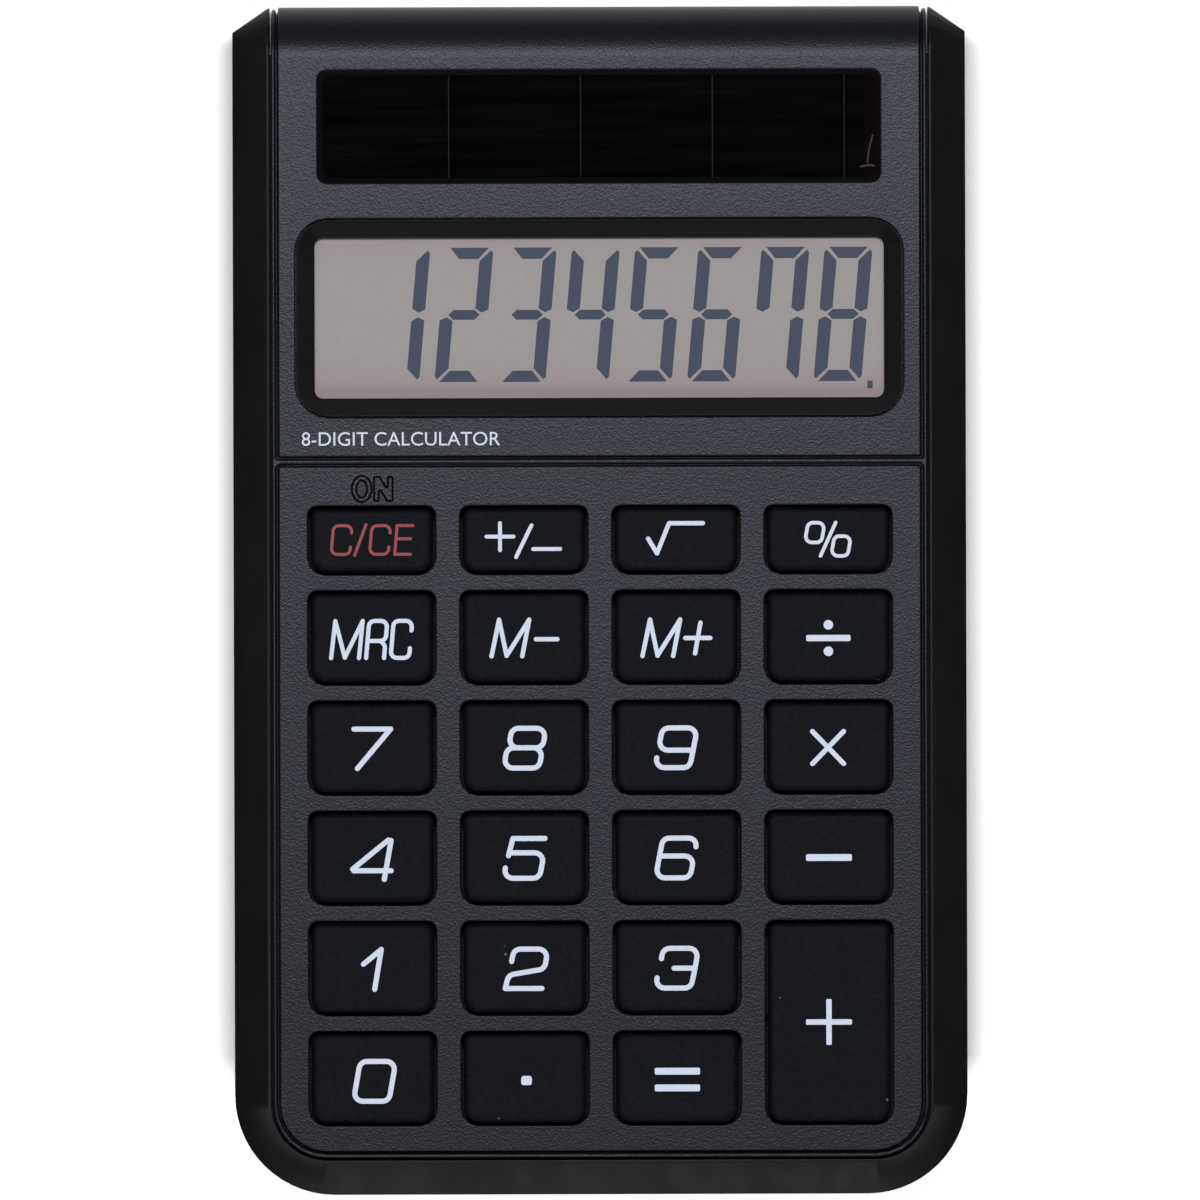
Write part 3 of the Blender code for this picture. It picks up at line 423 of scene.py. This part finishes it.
def textured_panel():
    """Dark grey moulding with a fine spark-eroded texture."""
    grey = (0.0055, 0.0058, 0.0076)
    surface = Surface("textured_dark_grey", 0.37, specular=0.165, tint=COOL)
    grain = surface.noise(5200, 1.0, 0.5)
    blotches = surface.noise(120, 3.0, 0.6)
    fine = surface.ramp(grain, [(0.3, scaled(grey, 0.72)), (0.7, scaled(grey, 1.32))])
    patches = surface.ramp(blotches, [(0.35, 0.0), (0.65, 0.35)])
    surface.colour(surface.mix(patches, fine, scaled(grey, 1.1)))
    surface.roughness(surface.ramp(grain, [(0.3, 0.4), (0.7, 0.35)]))
    surface.bump(grain, 0.5, 0.06 * MM)
    return surface.material


def satin_frame():
    """Black moulding of the outer frame, with a finer texture and slight scuffs."""
    black = (0.0016, 0.0015, 0.0017)
    surface = Surface("satin_black", 0.45, specular=0.15)
    grain = surface.noise(4200, 2.0, 0.6)
    scuffs = surface.noise(260, 4.0, 0.65, (1, 0.35, 1))
    fine = surface.ramp(grain, [(0.3, scaled(black, 0.8)), (0.7, scaled(black, 1.25))])
    surface.colour(surface.mix(surface.ramp(scuffs, [(0.55, 0.0), (0.8, 0.5)]), fine, scaled(black, 1.7)))
    surface.roughness(surface.ramp(scuffs, [(0.3, 0.42), (0.7, 0.54)]))
    surface.bump(grain, 0.35, 0.03 * MM)
    return surface.material


def matte_cover():
    black = (0.0165, 0.0165, 0.0175)
    surface = Surface("matte_black", 0.6)
    grain = surface.noise(3000, 2.0, 0.6)
    surface.colour(surface.ramp(grain, [(0.3, scaled(black, 0.75)), (0.7, scaled(black, 1.35))]))
    surface.roughness(surface.ramp(grain, [(0.3, 0.68), (0.7, 0.52)]))
    surface.bump(grain, 0.5, 0.05 * MM)
    return surface.material


def bezel_black():
    black = (0.0036, 0.0034, 0.0038)
    surface = Surface("bezel_black", 0.38, specular=0.085)
    grain = surface.noise(3800, 2.0, 0.6)
    surface.colour(surface.ramp(grain, [(0.3, scaled(black, 0.8)), (0.7, scaled(black, 1.25))]))
    surface.bump(grain, 0.3, 0.03 * MM)
    return surface.material


def key_rubber():
    """Black silicone with a few dust specks and faint wear."""
    black = (0.0016, 0.0019, 0.0027)
    surface = Surface("key_rubber", 0.65, specular=0.085, tint=COOL)
    grain = surface.noise(2600, 2.0, 0.6)
    wear = surface.noise(420, 4.0, 0.7)
    fine = surface.ramp(grain, [(0.3, scaled(black, 0.4)), (0.7, scaled(black, 1.8))])
    worn = surface.mix(surface.ramp(wear, [(0.5, 0.0), (0.8, 0.6)]), fine, scaled(black, 2.1))
    surface.colour(surface.mix(surface.specks(240, 0.035), worn, (0.1, 0.09, 0.085)))
    surface.bump(grain, 0.4, 0.03 * MM)
    return surface.material


def printed_ink(name, colour, roughness=0.5, specular=0.1):
    surface = Surface(name, roughness, specular=specular)
    wear = surface.noise(1500, 3.0, 0.6)
    surface.colour(surface.ramp(wear, [(0.3, scaled(colour, 0.93)), (0.6, colour)]))
    return surface.material


def display_film():
    """Warm grey polariser, pinker along its lower and upper edges."""
    surface = Surface("display_film", 0.5, specular=0.1)
    grain = surface.noise(2600, 2.0, 0.6)
    clouds = surface.noise(90, 2.0, 0.5)
    grey = surface.ramp(clouds, [(0.35, (0.250, 0.234, 0.232)), (0.65, (0.254, 0.230, 0.232))])
    split = surface.tree.nodes.new("ShaderNodeSeparateXYZ")
    surface.link(surface.tree.nodes["Texture Coordinate"].outputs["Generated"], split.inputs["Vector"])
    edge = surface.ramp(split.outputs["Y"], [(0.1, 1.0), (0.3, 0.0), (0.75, 0.0), (0.92, 0.45)])
    blushed = surface.mix(edge, grey, (0.240, 0.198, 0.208))
    mottled = surface.ramp(grain, [(0.35, 0.0), (0.65, 0.3)])
    surface.colour(surface.mix(mottled, blushed, (0.212, 0.197, 0.197)))
    return surface.material


def solar_cell():
    """Almost black coated cells under glass, with faint brush streaks."""
    surface = Surface("solar_cell", 0.5, coat=0.25, specular=0.0)
    surface.shader.inputs["Coat Roughness"].default_value = 0.04
    streaks = surface.noise(900, 3.0, 0.7, (0.06, 1, 1))
    clouds = surface.noise(160, 2.0, 0.6, (0.5, 1, 1))
    dark = surface.ramp(streaks, [(0.4, (0.0006, 0.0006, 0.0006)), (0.75, (0.0026, 0.0026, 0.0028))])
    hazy = surface.ramp(clouds, [(0.5, 0.0), (0.75, 0.6)])
    surface.colour(surface.mix(hazy, dark, (0.0012, 0.0011, 0.002)))
    return surface.material


def plain(name, colour, roughness, metallic=0.0, scale=900, coat=0.0, stretch=(1, 1, 1)):
    """A moulded, foamed or metal surface with slight variation in colour and relief."""
    surface = Surface(name, roughness, metallic, coat)
    grain = surface.noise(scale, 3.0, 0.6, stretch)
    surface.colour(surface.ramp(grain, [(0.3, scaled(colour, 0.82)), (0.7, scaled(colour, 1.15))]))
    surface.roughness(surface.ramp(grain, [(0.3, min(1.0, roughness * 1.15)), (0.7, roughness * 0.85)]))
    surface.bump(grain, 0.25, 0.03 * MM)
    return surface.material


def floor_material():
    """White table whose front part glows, which lifts the shadow in front of the casing."""
    surface = Surface("floor", 0.9, specular=0.1)
    surface.colour(surface.ramp(surface.noise(3, 2.0, 0.5), [(0.3, 0.93), (0.7, 0.95)]))
    split = surface.tree.nodes.new("ShaderNodeSeparateXYZ")
    surface.link(surface.place, split.inputs["Vector"])
    glow = surface.tree.nodes.new("ShaderNodeMapRange")
    for socket, value in (("From Min", -48 * MM), ("From Max", -44 * MM), ("To Min", 0.7), ("To Max", 0.0)):
        glow.inputs[socket].default_value = value
    surface.link(split.outputs["Y"], glow.inputs["Value"])
    surface.link(glow.outputs["Result"], surface.shader.inputs["Emission Strength"])
    surface.shader.inputs["Emission Color"].default_value = (1.0, 1.0, 1.0, 1.0)
    return surface.material


# ---------------------------------------------------------------- legends

# Strokes of each character on a unit box. Some reach a little past it.
GLYPHS = {
    "0": [[(0.5, 0), (0, 0), (0, 1), (0.5, 1)], [(0.5, 1), (1, 1), (1, 0), (0.5, 0)]],
    "1": [[(0.2, 0.62), (0.63, 0.99)], [(0.63, 0.99), (0.64, -0.01)]],
    "2": [
        [(0.08, 0.68), (0.08, 0.99), (1.04, 0.99), (1.04, 0.49), (0.06, 0.34), (0.03, 0)],
        [(0.03, 0), (1.06, 0)],
    ],
    "3": [
        [(0, 0.74), (0, 1), (0.99, 1), (0.99, 0.5), (0.97, 0), (-0.03, 0), (-0.03, 0.26)],
        [(0.4, 0.5), (0.96, 0.5)],
    ],
    "4": [[(0.92, -0.02), (0.92, 0.96)], [(0.84, 0.97), (-0.02, 0.24)], [(0.02, 0.2), (1.07, 0.2)]],
    "5": [
        [(0.96, 1), (0.06, 1)],
        [(0.06, 1), (0.02, 0.57)],
        [(0.04, 0.64), (1.01, 0.64), (1, 0), (-0.01, 0), (-0.01, 0.26)],
    ],
    "6": [
        [(0.97, 0.78), (0.97, 1), (0, 1), (-0.02, 0), (0.5, 0)],
        [(0.5, 0), (0.95, 0), (0.97, 0.55), (0, 0.55)],
    ],
    "7": [[(-0.12, 0.99), (0.91, 0.99), (0.17, 0)]],
    "8": [
        [(0.5, 0), (0, 0), (0, 0.51), (0.5, 0.51)],
        [(0.5, 0.51), (1, 0.51), (1, 0), (0.5, 0)],
        [(0.5, 0.51), (0.04, 0.51), (0.04, 1), (0.5, 1)],
        [(0.5, 1), (1, 1), (1, 0.51), (0.5, 0.51)],
    ],
    "9": [
        [(0.5, 0.44), (-0.02, 0.44), (0, 1), (0.5, 1)],
        [(0.5, 1), (0.98, 1), (0.95, 0), (-0.02, 0), (-0.02, 0.25)],
        [(0.5, 0.44), (0.97, 0.44)],
    ],
    "C": [[(1, 0.74), (1, 1), (0, 1), (0, 0), (1, 0), (1, 0.26)]],
    "E": [[(1, 1), (0, 1), (0, 0), (1, 0)], [(0, 0.54), (0.92, 0.54)]],
    "M": [[(0, 0), (0.04, 1), (0.49, 0.01), (1.02, 1), (1.0, 0)]],
    "R": [
        [(0, 0), (0, 1), (0.5, 1)],
        [(0.5, 1), (1, 1), (1, 0.46), (0, 0.46)],
        [(0.7, 0.46), (0.99, 0.34), (0.99, 0)],
    ],
    "/": [[(0, 0), (1, 1)]],
    "+": [[(0, 0.5), (1, 0.5)], [(0.5, 0), (0.5, 1)]],
    "-": [[(0, 0.5), (1, 0.5)]],
    "x": [[(0, 0), (1, 1)], [(0, 1), (1, 0)]],
    "root": [[(0, 0.5), (0.22, 0.02), (0.35, 1), (1, 1)]],
}


def glyph(character, centre, size, stroke, slant=SLANT, radius=0.75 * MM):
    """Outlines of a character whose stroke centres fill a box of the given centre and size."""
    left = centre[0] - size[0] / 2 - slant * size[1] / 2
    bottom = centre[1] - size[1] / 2
    outlines = []
    for points in GLYPHS[character]:
        placed = []
        for x, y in points:
            rise = y * size[1]
            placed.append((left + x * size[0] + slant * rise, bottom + rise))
        outlines += [stroke_outline(path, stroke) for path in rounded_paths(placed, radius)]
    return outlines


def line_of_glyphs(centre, stroke, *parts, lean=SLANT):
    """Outlines of several characters. Each part is (character, x and y of its centre, width, height)."""
    outlines = []
    for character, x, y, width, height in parts:
        place = (centre[0] + x * MM, centre[1] + y * MM)
        radius = 0.0 if character in ("E", "M", "root", "/") else 0.55 * MM
        slant = 0.0 if character == "-" or height == width else lean
        outlines += glyph(character, place, (width * MM, height * MM), stroke, slant, radius)
    return outlines


def dot(centre, radius):
    return arc(*centre, radius, 7.5, 352.5, 23)


def bar(centre, size, corner=0.12 * MM):
    return rounded_rectangle(centre, size, corner, corner, 2)


def legend_outlines(key, centre):
    """The outlines of a key's legend, in the middle of its face."""
    x, y = centre
    if key == "key_0":
        return glyph("0", (x + 0.15 * MM, y - 0.25 * MM), DIGIT_SIZE, STROKE)
    if key[-1].isdigit():
        return glyph(key[-1], (x + 0.05 * MM, y - 0.045 * MM), DIGIT_SIZE, STROKE)
    if key == "key_clear":
        letters = [
            ("C", -2.87, 0, 1.8, 2.76),
            ("/", -1.08, 0, 0.85, 2.95),
            ("C", 0.82, 0, 1.8, 2.76),
            ("E", 3.1, 0, 1.52, 2.76),
        ]
        return line_of_glyphs((x, y + 0.04 * MM), 0.29 * MM, *letters, lean=SMALL_SLANT)
    if key == "key_sign_change":
        signs = [("+", -2.28, 0.3, 2.6, 2.6), ("/", 0.0, -0.15, 0.95, 3.05), ("-", 2.2, -0.9, 2.6, 1.0)]
        return line_of_glyphs((x, y + 0.03 * MM), 0.37 * MM, *signs)
    if key == "key_square_root":
        return line_of_glyphs((x, y + 0.1 * MM), 0.42 * MM, ("root", -0.17, 0, 5.0, 2.94))
    if key == "key_percent":
        ring = (1.6, 1.9)
        signs = [("0", -1.28, 0.64, *ring), ("/", 0, 0, 0.9, 3.2), ("0", 1.24, -0.66, *ring)]
        return line_of_glyphs(centre, 0.34 * MM, *signs)
    if key == "key_memory_recall":
        letters = [("M", -2.42, 0, 2.68, 3.56), ("R", 0.47, 0, 1.74, 3.56), ("C", 2.84, 0, 1.78, 3.56)]
        return line_of_glyphs((x, y - 0.15 * MM), 0.4 * MM, *letters, lean=SMALL_SLANT)
    if key == "key_memory_minus":
        signs = [("M", -1.34, 0.03, 2.95, 3.5), ("-", 2.17, -0.1, 2.05, 1.0)]
        return line_of_glyphs((x, y - 0.07 * MM), 0.42 * MM, *signs)
    if key == "key_memory_plus":
        signs = [("M", -1.46, 0.03, 2.95, 3.5), ("+", 2.07, 0, 2.4, 2.95)]
        return line_of_glyphs((x, y - 0.09 * MM), 0.42 * MM, *signs)
    if key == "key_divide":
        dots = [dot((x, y + (side * 1.27 - 0.13) * MM), 0.46 * MM) for side in (-1, 1)]
        return [bar((x, y - 0.13 * MM), (SIGN_WIDTH - 0.15 * MM, 0.6 * MM)), *dots]
    if key == "key_multiply":
        return glyph("x", (x - 0.06 * MM, y - 0.06 * MM), (3.0 * MM, 3.1 * MM), 0.46 * MM, 0.0)
    if key == "key_subtract":
        return [bar((x, y - 0.04 * MM), (SIGN_WIDTH, 0.65 * MM))]
    if key == "key_add":
        middle = (x - 0.04 * MM, y + 0.04 * MM)
        sizes = ((SIGN_WIDTH, 0.52 * MM), (0.52 * MM, SIGN_WIDTH))
        return [bar(middle, size, 0.1 * MM) for size in sizes]
    if key == "key_decimal_point":
        return [bar((x + 0.13 * MM, y - 0.21 * MM), (1.02 * MM, 0.88 * MM), 0.2 * MM)]
    # The one left is the equals key
    size = (SIGN_WIDTH - 0.06 * MM, 0.66 * MM)
    return [bar((x, y + (side * 0.8 - 0.155) * MM), size) for side in (-1, 1)]


# ---------------------------------------------------------------- keys


def make_key(node, material, white, red):
    """A rubber key with a softly rounded edge and tighter corners on its display side, and its legend."""
    low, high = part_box(node)
    centre = ((low.x + high.x) / 2, (low.y + high.y) / 2)
    size = (high.x - low.x, high.y - low.y)
    head_bottom = high.z - KEY_HEAD_DEPTH

    def head(inset, z):
        inner = [side - 2 * inset for side in size]
        upper, lower = KEY_UPPER_CORNER - 0.5 * inset, KEY_LOWER_CORNER - 0.6 * inset
        return at_height(rounded_rectangle(centre, inner, upper, lower, KEY_CORNER_STEPS), z)

    radius = KEY_PLUNGER_RADIUS
    plunger = rounded_rectangle(centre, (2 * radius, 2 * radius), radius, radius, KEY_CORNER_STEPS)
    rings = [at_height(plunger, low.z), at_height(plunger, head_bottom), head(0.0, head_bottom)]
    for i in range(7):
        a = math.radians(15 * i)
        rings.append(head(KEY_EDGE * (1 - math.cos(a)), high.z - KEY_EDGE * (1 - math.sin(a))))
    mesh = bmesh.new()
    add_loft(mesh, rings)
    key = make_object(node + "_cap", mesh, material, 50)
    weight_normals(key)
    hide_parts(node)
    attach(key, node)
    ink = red if node == "key_clear" else white
    printed(node + "_legend", legend_outlines(node, centre), high.z, ink, node)


# ---------------------------------------------------------------- display


def segment_outlines():
    """Outlines of a digit's seven segments, by their usual letters, in mm from its lower left corner."""
    width, height, side, rail = 4.6, 12.9, 1.25, 1.08
    middle = height / 2
    upper_left = [
        (0, height - 0.5),
        (0.22, height - 0.25),
        (side, height - rail - 0.22),
        (side, middle + 0.6),
        (side / 2, middle + 0.23),
        (0, middle + 0.52),
    ]
    top = [(0.45, height), (width - 0.45, height), (width - 1.38, height - rail), (1.38, height - rail)]
    bridge = [
        (0.8, middle),
        (1.28, middle + 0.47),
        (width - 1.28, middle + 0.47),
        (width - 0.8, middle),
        (width - 1.28, middle - 0.47),
        (1.28, middle - 0.47),
    ]

    def mirrored(points, across=False, down=False):
        return [(width - x if across else x, height - y if down else y) for x, y in points]

    return {
        "a": top,
        "b": mirrored(upper_left, across=True),
        "c": mirrored(upper_left, across=True, down=True),
        "d": mirrored(top, down=True),
        "e": mirrored(upper_left, down=True),
        "f": upper_left,
        "g": bridge,
    }


def make_display_digits(ink):
    """The eight digits and the decimal point, each as its lit segments."""
    shapes = segment_outlines()
    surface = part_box("lcd_front_film")[1].z
    for i, segments in enumerate(LIT_SEGMENTS):
        left = LAST_DIGIT_X - (len(LIT_SEGMENTS) - 1 - i) * DIGIT_PITCH
        outlines = []
        for letter in segments:
            placed = []
            for x, y in shapes[letter]:
                rise = y * MM
                placed.append((left + x * MM + SEGMENT_SLANT * rise, DIGITS_BOTTOM_Y + rise))
            outlines.append(placed)
        printed(f"display_digit_{i + 1}", outlines, surface, ink, CASING)
    printed("display_point", [bar(POINT_PLACE, POINT_SIZE, 0.05 * MM)], surface, ink, CASING)


# ---------------------------------------------------------------- markings and solar panel


def make_solar_details(line_ink, terminal_ink, solder):
    """The lines between the cells, and the bare terminal strip at the right with its solder."""
    low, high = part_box("solar_panel")
    centre_y = (low.y + high.y) / 2
    length = high.y - low.y - 0.2 * MM
    lines = []
    for i in range(CELL_LINE_COUNT):
        x = FIRST_CELL_LINE_X + i * CELL_PITCH
        lines.append(bar((x, centre_y), (CELL_LINE_WIDTH, length), 0.02 * MM))
    printed("solar_cell_lines", lines, high.z, line_ink, CASING)
    strip = bar((TERMINAL_X, centre_y), (TERMINAL_WIDTH, length), 0.02 * MM)
    printed("solar_terminal_strip", [strip], high.z, terminal_ink, CASING)
    bead = [(25.2 * MM, 41.6 * MM), (26.0 * MM, 41.75 * MM), (26.4 * MM, 41.65 * MM)]
    trace = [(25.8 * MM, 42.0 * MM), (26.0 * MM, 43.4 * MM), (26.3 * MM, 44.6 * MM)]
    shapes = []
    for points, width in ((bead, 0.2 * MM), (trace, 0.14 * MM)):
        shapes += [stroke_outline(path, width) for path in rounded_paths(points, 0.5 * MM)]
    printed("solar_solder", shapes, high.z + 0.02 * MM, solder, CASING)


def text_print(name, words, height, centre, surface_z, material, up=1):
    """Plain text as a thin solid, readable from above, or from below if up is -1."""
    curve = bpy.data.curves.new(name, "FONT")
    curve.body = words
    curve.size = height
    curve.align_x = "CENTER"
    curve.align_y = "CENTER"
    curve.extrude = PRINT_THICKNESS
    curve.resolution_u = 4
    made = bpy.data.objects.new(name, curve)
    bpy.context.scene.collection.objects.link(made)
    made.location = (*centre, surface_z)
    made.rotation_euler = (0.0, 0.0 if up > 0 else math.pi, 0.0)
    bpy.context.view_layer.update()
    data = bpy.data.meshes.new_from_object(made.evaluated_get(bpy.context.evaluated_depsgraph_get()))
    data.transform(made.matrix_world)
    data.materials.clear()
    data.materials.append(material)
    flat = bpy.data.objects.new(name + "_print", data)
    bpy.data.objects.remove(made)
    bpy.context.scene.collection.objects.link(flat)
    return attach(flat, CASING)


def closed_offset(loop, distance):
    """A closed loop moved sideways by the distance at every point."""
    moved = []
    for i, point in enumerate(loop):
        along = (loop[(i + 1) % len(loop)] - loop[i - 1]).normalized()
        moved.append(point + Vector((-along.y, along.x)) * distance)
    return moved


def rounded_loop(corners, radius):
    """A closed loop through the corners, each rounded."""
    loop = []
    for i, corner in enumerate(corners):
        back = corners[i - 1] - corner
        on = corners[(i + 1) % len(corners)] - corner
        room = 0.48 * min(back.length, on.length)
        loop += fillet(corner, back, on, room, radius)
    return loop


def on_mark_loops():
    """The edges of the moulded word: outside and inside of the O, and round the N."""
    loops = []
    for half_width, half_height in ((0.95, 1.25), (0.51, 0.82)):
        ellipse = []
        for x, y in arc(0.0, 0.0, 1.0, 0, 351, 39):
            ellipse.append(Vector((O_MIDDLE_X + x * half_width * MM, ON_MIDDLE_Y + y * half_height * MM)))
        loops.append(ellipse)
    width, half = 1.77, 1.15  # the N's full width and half its height
    stem, overlap, notch = 0.44, 0.52, 0.2  # its stem, the diagonal's ends, and how deep it is notched
    corners = [
        (0, -half),
        (0, half),
        (overlap, half),
        (width - stem, -notch),
        (width - stem, half),
        (width, half),
        (width, -half),
        (width - overlap, -half),
        (stem, notch),
        (stem, -half),
    ]
    placed = [Vector((N_LEFT_X + x * MM, ON_MIDDLE_Y + y * MM)) for x, y in corners]
    loops.append(rounded_loop(placed, ON_CORNER))
    return loops


def on_mark_cutter():
    """Cutter for the grooves of the moulded word."""
    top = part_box("front_panel")[1].z
    rim, floor = top + 0.01 * MM, top - ON_GROOVE_DEPTH
    mesh = bmesh.new()
    for loop in on_mark_loops():
        inner, outer = [closed_offset(loop, side * ON_GROOVE_WIDTH / 2) for side in (-1, 1)]
        section = [at_height(inner, rim), at_height(loop, floor), at_height(outer, rim)]
        add_loft(mesh, section, cyclic=True)
    return make_object("on_mark_cutter", mesh)


def make_panel_words(white):
    """A small printed line under the display."""
    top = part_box("front_panel")[1].z
    text_print("panel_words", PANEL_WORDS, PANEL_WORDS_HEIGHT, PANEL_WORDS_PLACE, top, white)


# ---------------------------------------------------------------- back


def cross_recess(name, centre, face_z, depth):
    """Cutter for the cross in a screw's head."""
    mesh = bmesh.new()
    for width, length in ((0.42 * MM, 1.9 * MM), (1.9 * MM, 0.42 * MM)):
        wide = rounded_rectangle(centre, (width, length), 0.05 * MM, 0.05 * MM, 1)
        narrow = rounded_rectangle(centre, (width * 0.55, length * 0.55), 0.03 * MM, 0.03 * MM, 1)
        rings = ((wide, face_z - 0.2 * MM), (wide, face_z), (narrow, face_z + depth))
        add_loft(mesh, [at_height(outline, z) for outline, z in rings])
    return make_object(name, mesh)


def make_screw(node, material):
    low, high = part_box(node)
    centre = ((low.x + high.x) / 2, (low.y + high.y) / 2)
    cutter = cross_recess(node + "_recess", centre, low.z, 0.5 * MM)
    screw = refined(node, node + "_body", 0.06 * MM, material, 40, 2, cutter)


def make_label(material, ink):
    """The plain rating label in the cover's recess."""
    top = LABEL_RECESS - 0.02 * MM
    face = top - LABEL_THICKNESS
    mesh = bmesh.new()
    add_prism(mesh, rounded_rectangle(LABEL_PLACE, LABEL_SIZE, 1.3 * MM, 1.3 * MM, 6), face, top)
    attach(make_object("rear_label", mesh, material), CASING)
    for i, (words, height) in enumerate(LABEL_LINES):
        place = (0.0, LABEL_FIRST_Y - i * LABEL_LINE_PITCH)
        text_print(f"label_words_{i + 1}", words, height, place, face, ink, -1)


# ---------------------------------------------------------------- stage


def make_camera():
    data = bpy.data.cameras.new("camera")
    data.sensor_width = SENSOR_WIDTH
    face_z = CAD_BOX[1].z
    data.lens = SENSOR_WIDTH * (CAMERA_HEIGHT - face_z) / VIEW_WIDTH
    camera = bpy.data.objects.new("camera", data)
    camera.location = (0.0, 0.0, CAMERA_HEIGHT)
    camera.rotation_euler = (0.0, 0.0, -CAMERA_ROLL)
    bpy.context.scene.collection.objects.link(camera)
    bpy.context.scene.camera = camera


def make_light(name, place, target, size, power):
    data = bpy.data.lights.new(name, "AREA")
    data.shape = "RECTANGLE"
    data.size, data.size_y = size
    data.energy = power
    light = bpy.data.objects.new(name, data)
    light.location = place
    aim = Vector(target) - Vector(place)
    light.rotation_euler = aim.to_track_quat("-Z", "Y").to_euler()
    bpy.context.scene.collection.objects.link(light)


def make_stage():
    """A pale floor, a dome that is dark straight overhead, and soft lights from both ends."""
    floor = bmesh.new()
    half = 3.0
    add_prism(floor, [(-half, -half), (half, -half), (half, half), (-half, half)], -10 * MM, -0.02 * MM)
    make_object("floor", floor, floor_material())
    make_light("key_light", (0.0, 0.173, 0.69), (0.0, 0.0, 0.0), (0.3, 0.09), 5.0)
    make_light("front_fill", (0.0, -0.6, 0.45), (0.0, 0.0, 0.0), (0.4, 0.2), 1.8)

    world = bpy.data.worlds.new("studio")
    world.use_nodes = True
    bpy.context.scene.world = world
    tree = world.node_tree
    place = tree.nodes.new("ShaderNodeTexCoord")
    split = tree.nodes.new("ShaderNodeSeparateXYZ")
    tree.links.new(place.outputs["Generated"], split.inputs["Vector"])
    ramp = tree.nodes.new("ShaderNodeMapRange")
    for socket, value in (("From Min", 0.86), ("From Max", 0.97), ("To Min", 0.2), ("To Max", 0.03)):
        ramp.inputs[socket].default_value = value
    tree.links.new(split.outputs["Z"], ramp.inputs["Value"])
    tree.links.new(ramp.outputs["Result"], tree.nodes["Background"].inputs["Strength"])
    tree.nodes["Background"].inputs["Color"].default_value = (0.75, 0.76, 0.8, 1.0)
    bpy.context.scene.view_settings.view_transform = "Standard"


# ---------------------------------------------------------------- assembly


def repaint(node, material):
    data = frame["nodes"][node].data
    data.materials.clear()
    data.materials.append(material)


make_camera()
make_stage()

panel_material = textured_panel()
frame_material = satin_frame()
cover_material = matte_cover()
rubber = key_rubber()
white_ink = printed_ink("white_print", (0.5, 0.555, 0.66))
red_ink = printed_ink("red_print", (0.235, 0.048, 0.054))
segment_ink = printed_ink("display_segment", (0.036, 0.046, 0.072))
label_ink = printed_ink("label_ink", (0.05, 0.05, 0.055))
steel = plain("steel", (0.5, 0.5, 0.52), 0.32, 1.0, 2500)

panel = refined(
    "front_panel", "front_panel_shell", 0.14 * MM, panel_material, cutter=on_mark_cutter(), clamp=False
)
refined("side_frame", "side_frame_shell", 0.04 * MM, frame_material)
refined("rear_cover", "rear_cover_shell", 0.12 * MM, cover_material)
refined("display_bezel", "display_bezel_frame", 0.1 * MM, bezel_black(), 12)

for body in frame["bodies"]:
    if body != CASING:
        make_key(body, rubber, white_ink, red_ink)

repaint("lcd_front_film", display_film())
make_display_digits(segment_ink)
repaint("solar_panel", solar_cell())
make_solar_details(
    printed_ink("cell_line", (0.016, 0.016, 0.0155), specular=0.0),
    printed_ink("terminal_strip", (0.004, 0.002, 0.0023), specular=0.0),
    printed_ink("solder", (0.03, 0.016, 0.016)),
)
make_panel_words(white_ink)

foot_rubber = plain("foot_rubber", (0.03, 0.03, 0.031), 0.8, scale=2200)
for i in range(1, 5):
    refined(f"foot_{i}", f"foot_{i}_pad", 0.12 * MM, foot_rubber, 20)
for i in range(1, 7):
    make_screw(f"case_screw_{i}", steel)
make_label(plain("label_silver", (0.42, 0.42, 0.43), 0.38, 0.6, 1800, stretch=(0.1, 1, 1)), label_ink)

HIDDEN_PARTS = {
    "key_mat": plain("mat_rubber", (0.02, 0.02, 0.022), 0.75, scale=2400),
    "main_board": plain("circuit_board", (0.30, 0.17, 0.07), 0.5, scale=1600),
    "controller_chip": plain("chip_resin", (0.006, 0.006, 0.006), 0.25, scale=500, coat=0.5),
    "buffer_capacitor": plain("capacitor_case", (0.45, 0.28, 0.05), 0.5),
    "clamp_diode": plain("diode_case", (0.02, 0.02, 0.02), 0.4),
    "lcd_front_glass": plain("front_glass", (0.45, 0.48, 0.47), 0.1, coat=0.5),
    "lcd_rear_glass": plain("rear_glass", (0.42, 0.45, 0.44), 0.1, coat=0.5),
    "lcd_reflector": plain("reflector_foil", (0.7, 0.7, 0.7), 0.3, 0.9, 1500, stretch=(0.1, 1, 1)),
    "lcd_cushion": plain("display_foam", (0.05, 0.05, 0.05), 0.95, scale=1800),
    "solar_cushion": plain("solar_foam", (0.05, 0.05, 0.05), 0.95, scale=1800),
    "lcd_ribbon": plain("ribbon_film", (0.45, 0.22, 0.06), 0.35, scale=1200, stretch=(1, 0.1, 1)),
    "solar_wire_red": plain("red_insulation", (0.45, 0.01, 0.01), 0.45),
    "solar_wire_black": plain("black_insulation", (0.012, 0.012, 0.012), 0.45),
}
for node, material in HIDDEN_PARTS.items():
    repaint(node, material)
for i in range(1, 5):
    repaint(f"board_screw_{i}", steel)
